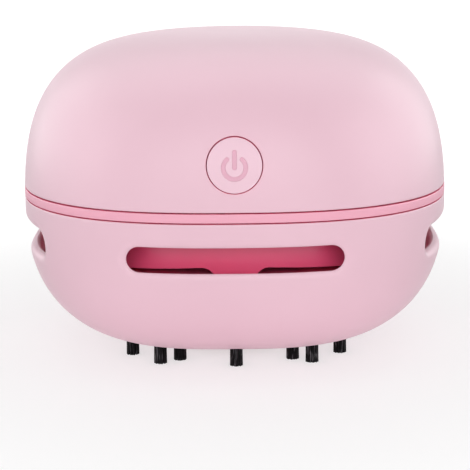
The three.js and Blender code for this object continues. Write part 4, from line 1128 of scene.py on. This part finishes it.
# Painted shade: a deeper pink on the faces inside the seams, in the button's hole and on the button's side wall,
# where the gaps hold shade.
seam_painted_shade = moulded("seam_shade", (232, 96, 136), (238, 104, 144), (0.5, 0.6))
inner_pink = moulded("inner_satin", (249, 84, 130), (251, 92, 138), (0.34, 0.42), gloss=1.0)
cup_pink = moulded("cup_satin", (192, 70, 104), (202, 80, 114), (0.4, 0.5))
white_plastic = moulded("white_moulding", (228, 228, 230), (236, 236, 238))
grey_plastic = moulded("grey_moulding", (136, 139, 144), (148, 151, 156), (0.5, 0.6))
black_plastic = moulded("black_moulding", (26, 26, 30), (36, 36, 40), (0.4, 0.5))
seal_rubber = moulded("seal_rubber", (50, 50, 54), (62, 62, 66), (0.7, 0.85), (2200, 0.05, 0.4))
wire_red = moulded("wire_red", (176, 38, 38), (190, 48, 46), (0.4, 0.5))
wire_black = moulded("wire_black", (24, 24, 27), (34, 34, 38), (0.4, 0.5))
steel = metal("drawn_steel", (176, 180, 185), (196, 199, 203))
dark_steel = metal("screw_steel", (92, 96, 102), (116, 120, 126), (0.3, 0.45))
copper = metal("bare_copper", (188, 116, 72), (206, 134, 88))
bronze = metal("bush_bronze", (160, 122, 66), (178, 138, 80))
magnet_grey = moulded("magnet_ferrite", (54, 55, 58), (68, 69, 72), (0.55, 0.7), (1800, 0.08, 0.5))
nylon = nylon_finish()
filter_cloth = woven_finish(0.35)
foil = cell_finish()
foam = foam_finish()
board = board_finish()
wound = wound_finish()
lens = lens_finish()

NODE_FINISHES = {
    "motor_deck": white_plastic, "tact_switch": black_plastic, "switch_board": board, "charge_board": board,
    "usb_socket": steel, "usb_tongue": black_plastic, "charge_light": lens, "battery_tray": white_plastic,
    "battery_cell": foil, "battery_foam": foam, "motor_can": steel, "motor_end_cap": grey_plastic,
    "motor_bush": bronze, "magnet_left": magnet_grey, "magnet_right": magnet_grey,
    "terminal_left": copper, "terminal_right": copper, "motor_shaft": steel, "armature": wound,
    "commutator": copper, "impeller": white_plastic, "switch_plunger": black_plastic,
    "filter_frame": white_plastic, "filter_mesh": filter_cloth, "filter_seal": seal_rubber, "dust_cup": cup_pink,
}
for run in ("motor", "battery", "charge"):
    NODE_FINISHES.update({f"{run}_wire_red": wire_red, f"{run}_wire_black": wire_black})
for kind, count in (("motor", 2), ("deck", 4), ("cup", 4)):
    NODE_FINISHES.update({f"{kind}_screw_{i}": dark_steel for i in range(1, count + 1)})
for node, material in NODE_FINISHES.items():
    wear(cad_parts[node], material)

# The shells, band and button carry the painted seam shade on their faces inside the gaps.
seat(shade(top_cover(), (shell_pink, seam_painted_shade), dome_seam_shade_index), "upper", "shell_pink", "top_shell")
seat(shade(trim_band(), (band_pink, seam_painted_shade), rim_seam_shade_index), "upper", "band_pink", "trim_ring")
button_finishes_with_shade = (button_pink, symbol_pink, seam_painted_shade)
seat(shade(button_cap(), button_finishes_with_shade, button_symbol_and_shade_index), "button", "shell_pink", "power_button")
seat(shade(lower_cover(), (shell_pink, seam_painted_shade), rim_seam_shade_index), "lower", "shell_pink", "lower_shell")
seat(wear(fan_wall(), inner_pink), "upper", "inner_pink", "fan_housing")
seat(wear(inlet_lip(), cup_pink), "lower", "cup_pink", "inlet_ring")
strand_tree = bristle_tree()
for quarter, spots in enumerate(tuft_spots()):
    node = f"brush_segment_{quarter + 1}"
    seat(wear(brush_strip(quarter), black_plastic), "lower", "black_nylon", node)
    seat(bristles(strand_tree, quarter, spots, nylon), "lower", "black_nylon", node)


# ---- floor, light and camera ----

def studio_floor():
    """A wide pale floor under the bristle tips, white to the camera away from the part."""
    mesh = bpy.data.meshes.new("studio_floor")
    size = 6.0
    corners = [(-size, -size, 0), (size, -size, 0), (size, size, 0), (-size, size, 0)]
    mesh.from_pydata(corners, [], [(0, 1, 2, 3)])
    paper = Finish("floor_paper", {
        "Base Color": (0.9, 0.9, 0.9, 1.0), "Roughness": 0.9, "Specular IOR Level": 0.1,
    })
    nodes, link = paper.nodes, paper.link
    distance = nodes.new("ShaderNodeVectorMath")
    distance.operation = "LENGTH"
    link(paper.spots, distance.inputs[0])
    white = set_values(nodes.new("ShaderNodeMapRange"), {"From Min": 0.05, "From Max": 0.2, "To Min": 0.5})
    white.interpolation_type = "SMOOTHSTEP"
    link(distance.outputs["Value"], white.inputs["Value"])
    seen = nodes.new("ShaderNodeLightPath")
    glow = set_values(nodes.new("ShaderNodeEmission"), {"Strength": 1.2})
    product = nodes.new("ShaderNodeMath")
    product.operation = "MULTIPLY"
    share = tied(product, link, seen.outputs["Is Camera Ray"], white.outputs["Result"])
    blend = tied(nodes.new("ShaderNodeMixShader"), link, share, paper.shader.outputs[0], glow.outputs[0])
    link(blend, nodes["Material Output"].inputs["Surface"])
    mesh.materials.append(paper.material)
    in_scene("studio_floor", mesh)


def studio_light():
    """Even white surroundings, soft boxes round the part, and white cards that only reflect."""
    world = bpy.data.worlds.new("studio_world")
    bpy.context.scene.world = world
    world.use_nodes = True
    nodes, link = world.node_tree.nodes, world.node_tree.links.new
    white = (1.0, 1.0, 1.0, 1.0)
    surround = set_values(nodes["Background"], {"Color": white, "Strength": 0.37})
    seen = set_values(nodes.new("ShaderNodeBackground"), {"Color": white, "Strength": 1.0})
    path = nodes.new("ShaderNodeLightPath")
    sharp = nodes.new("ShaderNodeMath")
    sharp.operation = "MAXIMUM"
    share = tied(sharp, link, path.outputs["Is Camera Ray"], path.outputs["Is Glossy Ray"])
    blend = tied(nodes.new("ShaderNodeMixShader"), link, share, surround.outputs[0], seen.outputs[0])
    link(blend, nodes["World Output"].inputs["Surface"])
    middle = Vector((0.0, 0.0, 0.035))
    for name, place, width, height, power, lights_up in (
        ("front_softbox", (0.0, -0.78, 0.27), 1.0, 0.3, 2.85, True),
        ("back_softbox", (0.0, 0.85, 0.2), 1.0, 0.3, 1.6, True),
        ("top_softbox", (0.0, 0.0, 0.55), 0.6, 0.5, 0.6, True),
        ("low_fill", (0.0, 0.0, 0.001), 0.6, 0.6, 0.24, True),
        ("left_card", (-0.5, 0.08, 0.11), 0.9, 0.75, 5.3, False),
        ("right_card", (0.5, 0.08, 0.11), 0.9, 0.75, 5.6, False),
        ("top_card", (0.0, 0.2, 0.5), 0.9, 0.6, 2.3, False),
    ):
        lamp = bpy.data.lights.new(name, "AREA")
        lamp.shape = "RECTANGLE"
        lamp.size, lamp.size_y = width, height
        lamp.energy = power
        box = in_scene(name, lamp)
        box.location = place
        box.rotation_euler = (middle - Vector(place)).to_track_quat("-Z", "Y").to_euler()
        box.visible_diffuse = lights_up
        box.visible_camera = False
        box.visible_glossy = name not in ("low_fill", "back_softbox")


PHOTO_SIZE = 470
SEAM_PLACE = (234.56, 174.02)
CAMERA_DISTANCE = 0.336
CAMERA_RISE = math.radians(9.77)
CAMERA_ROLL = math.radians(0.556)
FOCAL_PIXELS = 1650.9


def photo_camera():
    """The camera where the photograph was taken from."""
    data = bpy.data.cameras.new("photo_camera")
    data.sensor_width = 36.0
    data.lens = FOCAL_PIXELS * data.sensor_width / PHOTO_SIZE
    data.shift_x = (PHOTO_SIZE / 2 - SEAM_PLACE[0]) / PHOTO_SIZE
    data.shift_y = (SEAM_PLACE[1] - PHOTO_SIZE / 2) / PHOTO_SIZE
    data.clip_start = 0.01
    camera = in_scene("photo_camera", data)
    back = Vector((0.0, -math.cos(CAMERA_RISE), math.sin(CAMERA_RISE)))
    right, up = Vector((1.0, 0.0, 0.0)), Vector((0.0, math.sin(CAMERA_RISE), math.cos(CAMERA_RISE)))
    c, s = math.cos(CAMERA_ROLL), math.sin(CAMERA_ROLL)
    spot = Vector((0.0, 0.0, STAND_HEIGHT * MM)) + back * CAMERA_DISTANCE
    columns = (right * c - up * s, right * s + up * c, back, spot)
    camera.matrix_world = Matrix([[column[k] for column in columns] for k in range(3)] + [[0.0, 0.0, 0.0, 1.0]])
    bpy.context.scene.camera = camera


studio_floor()
studio_light()
photo_camera()
bpy.context.scene.view_settings.view_transform = "Standard"
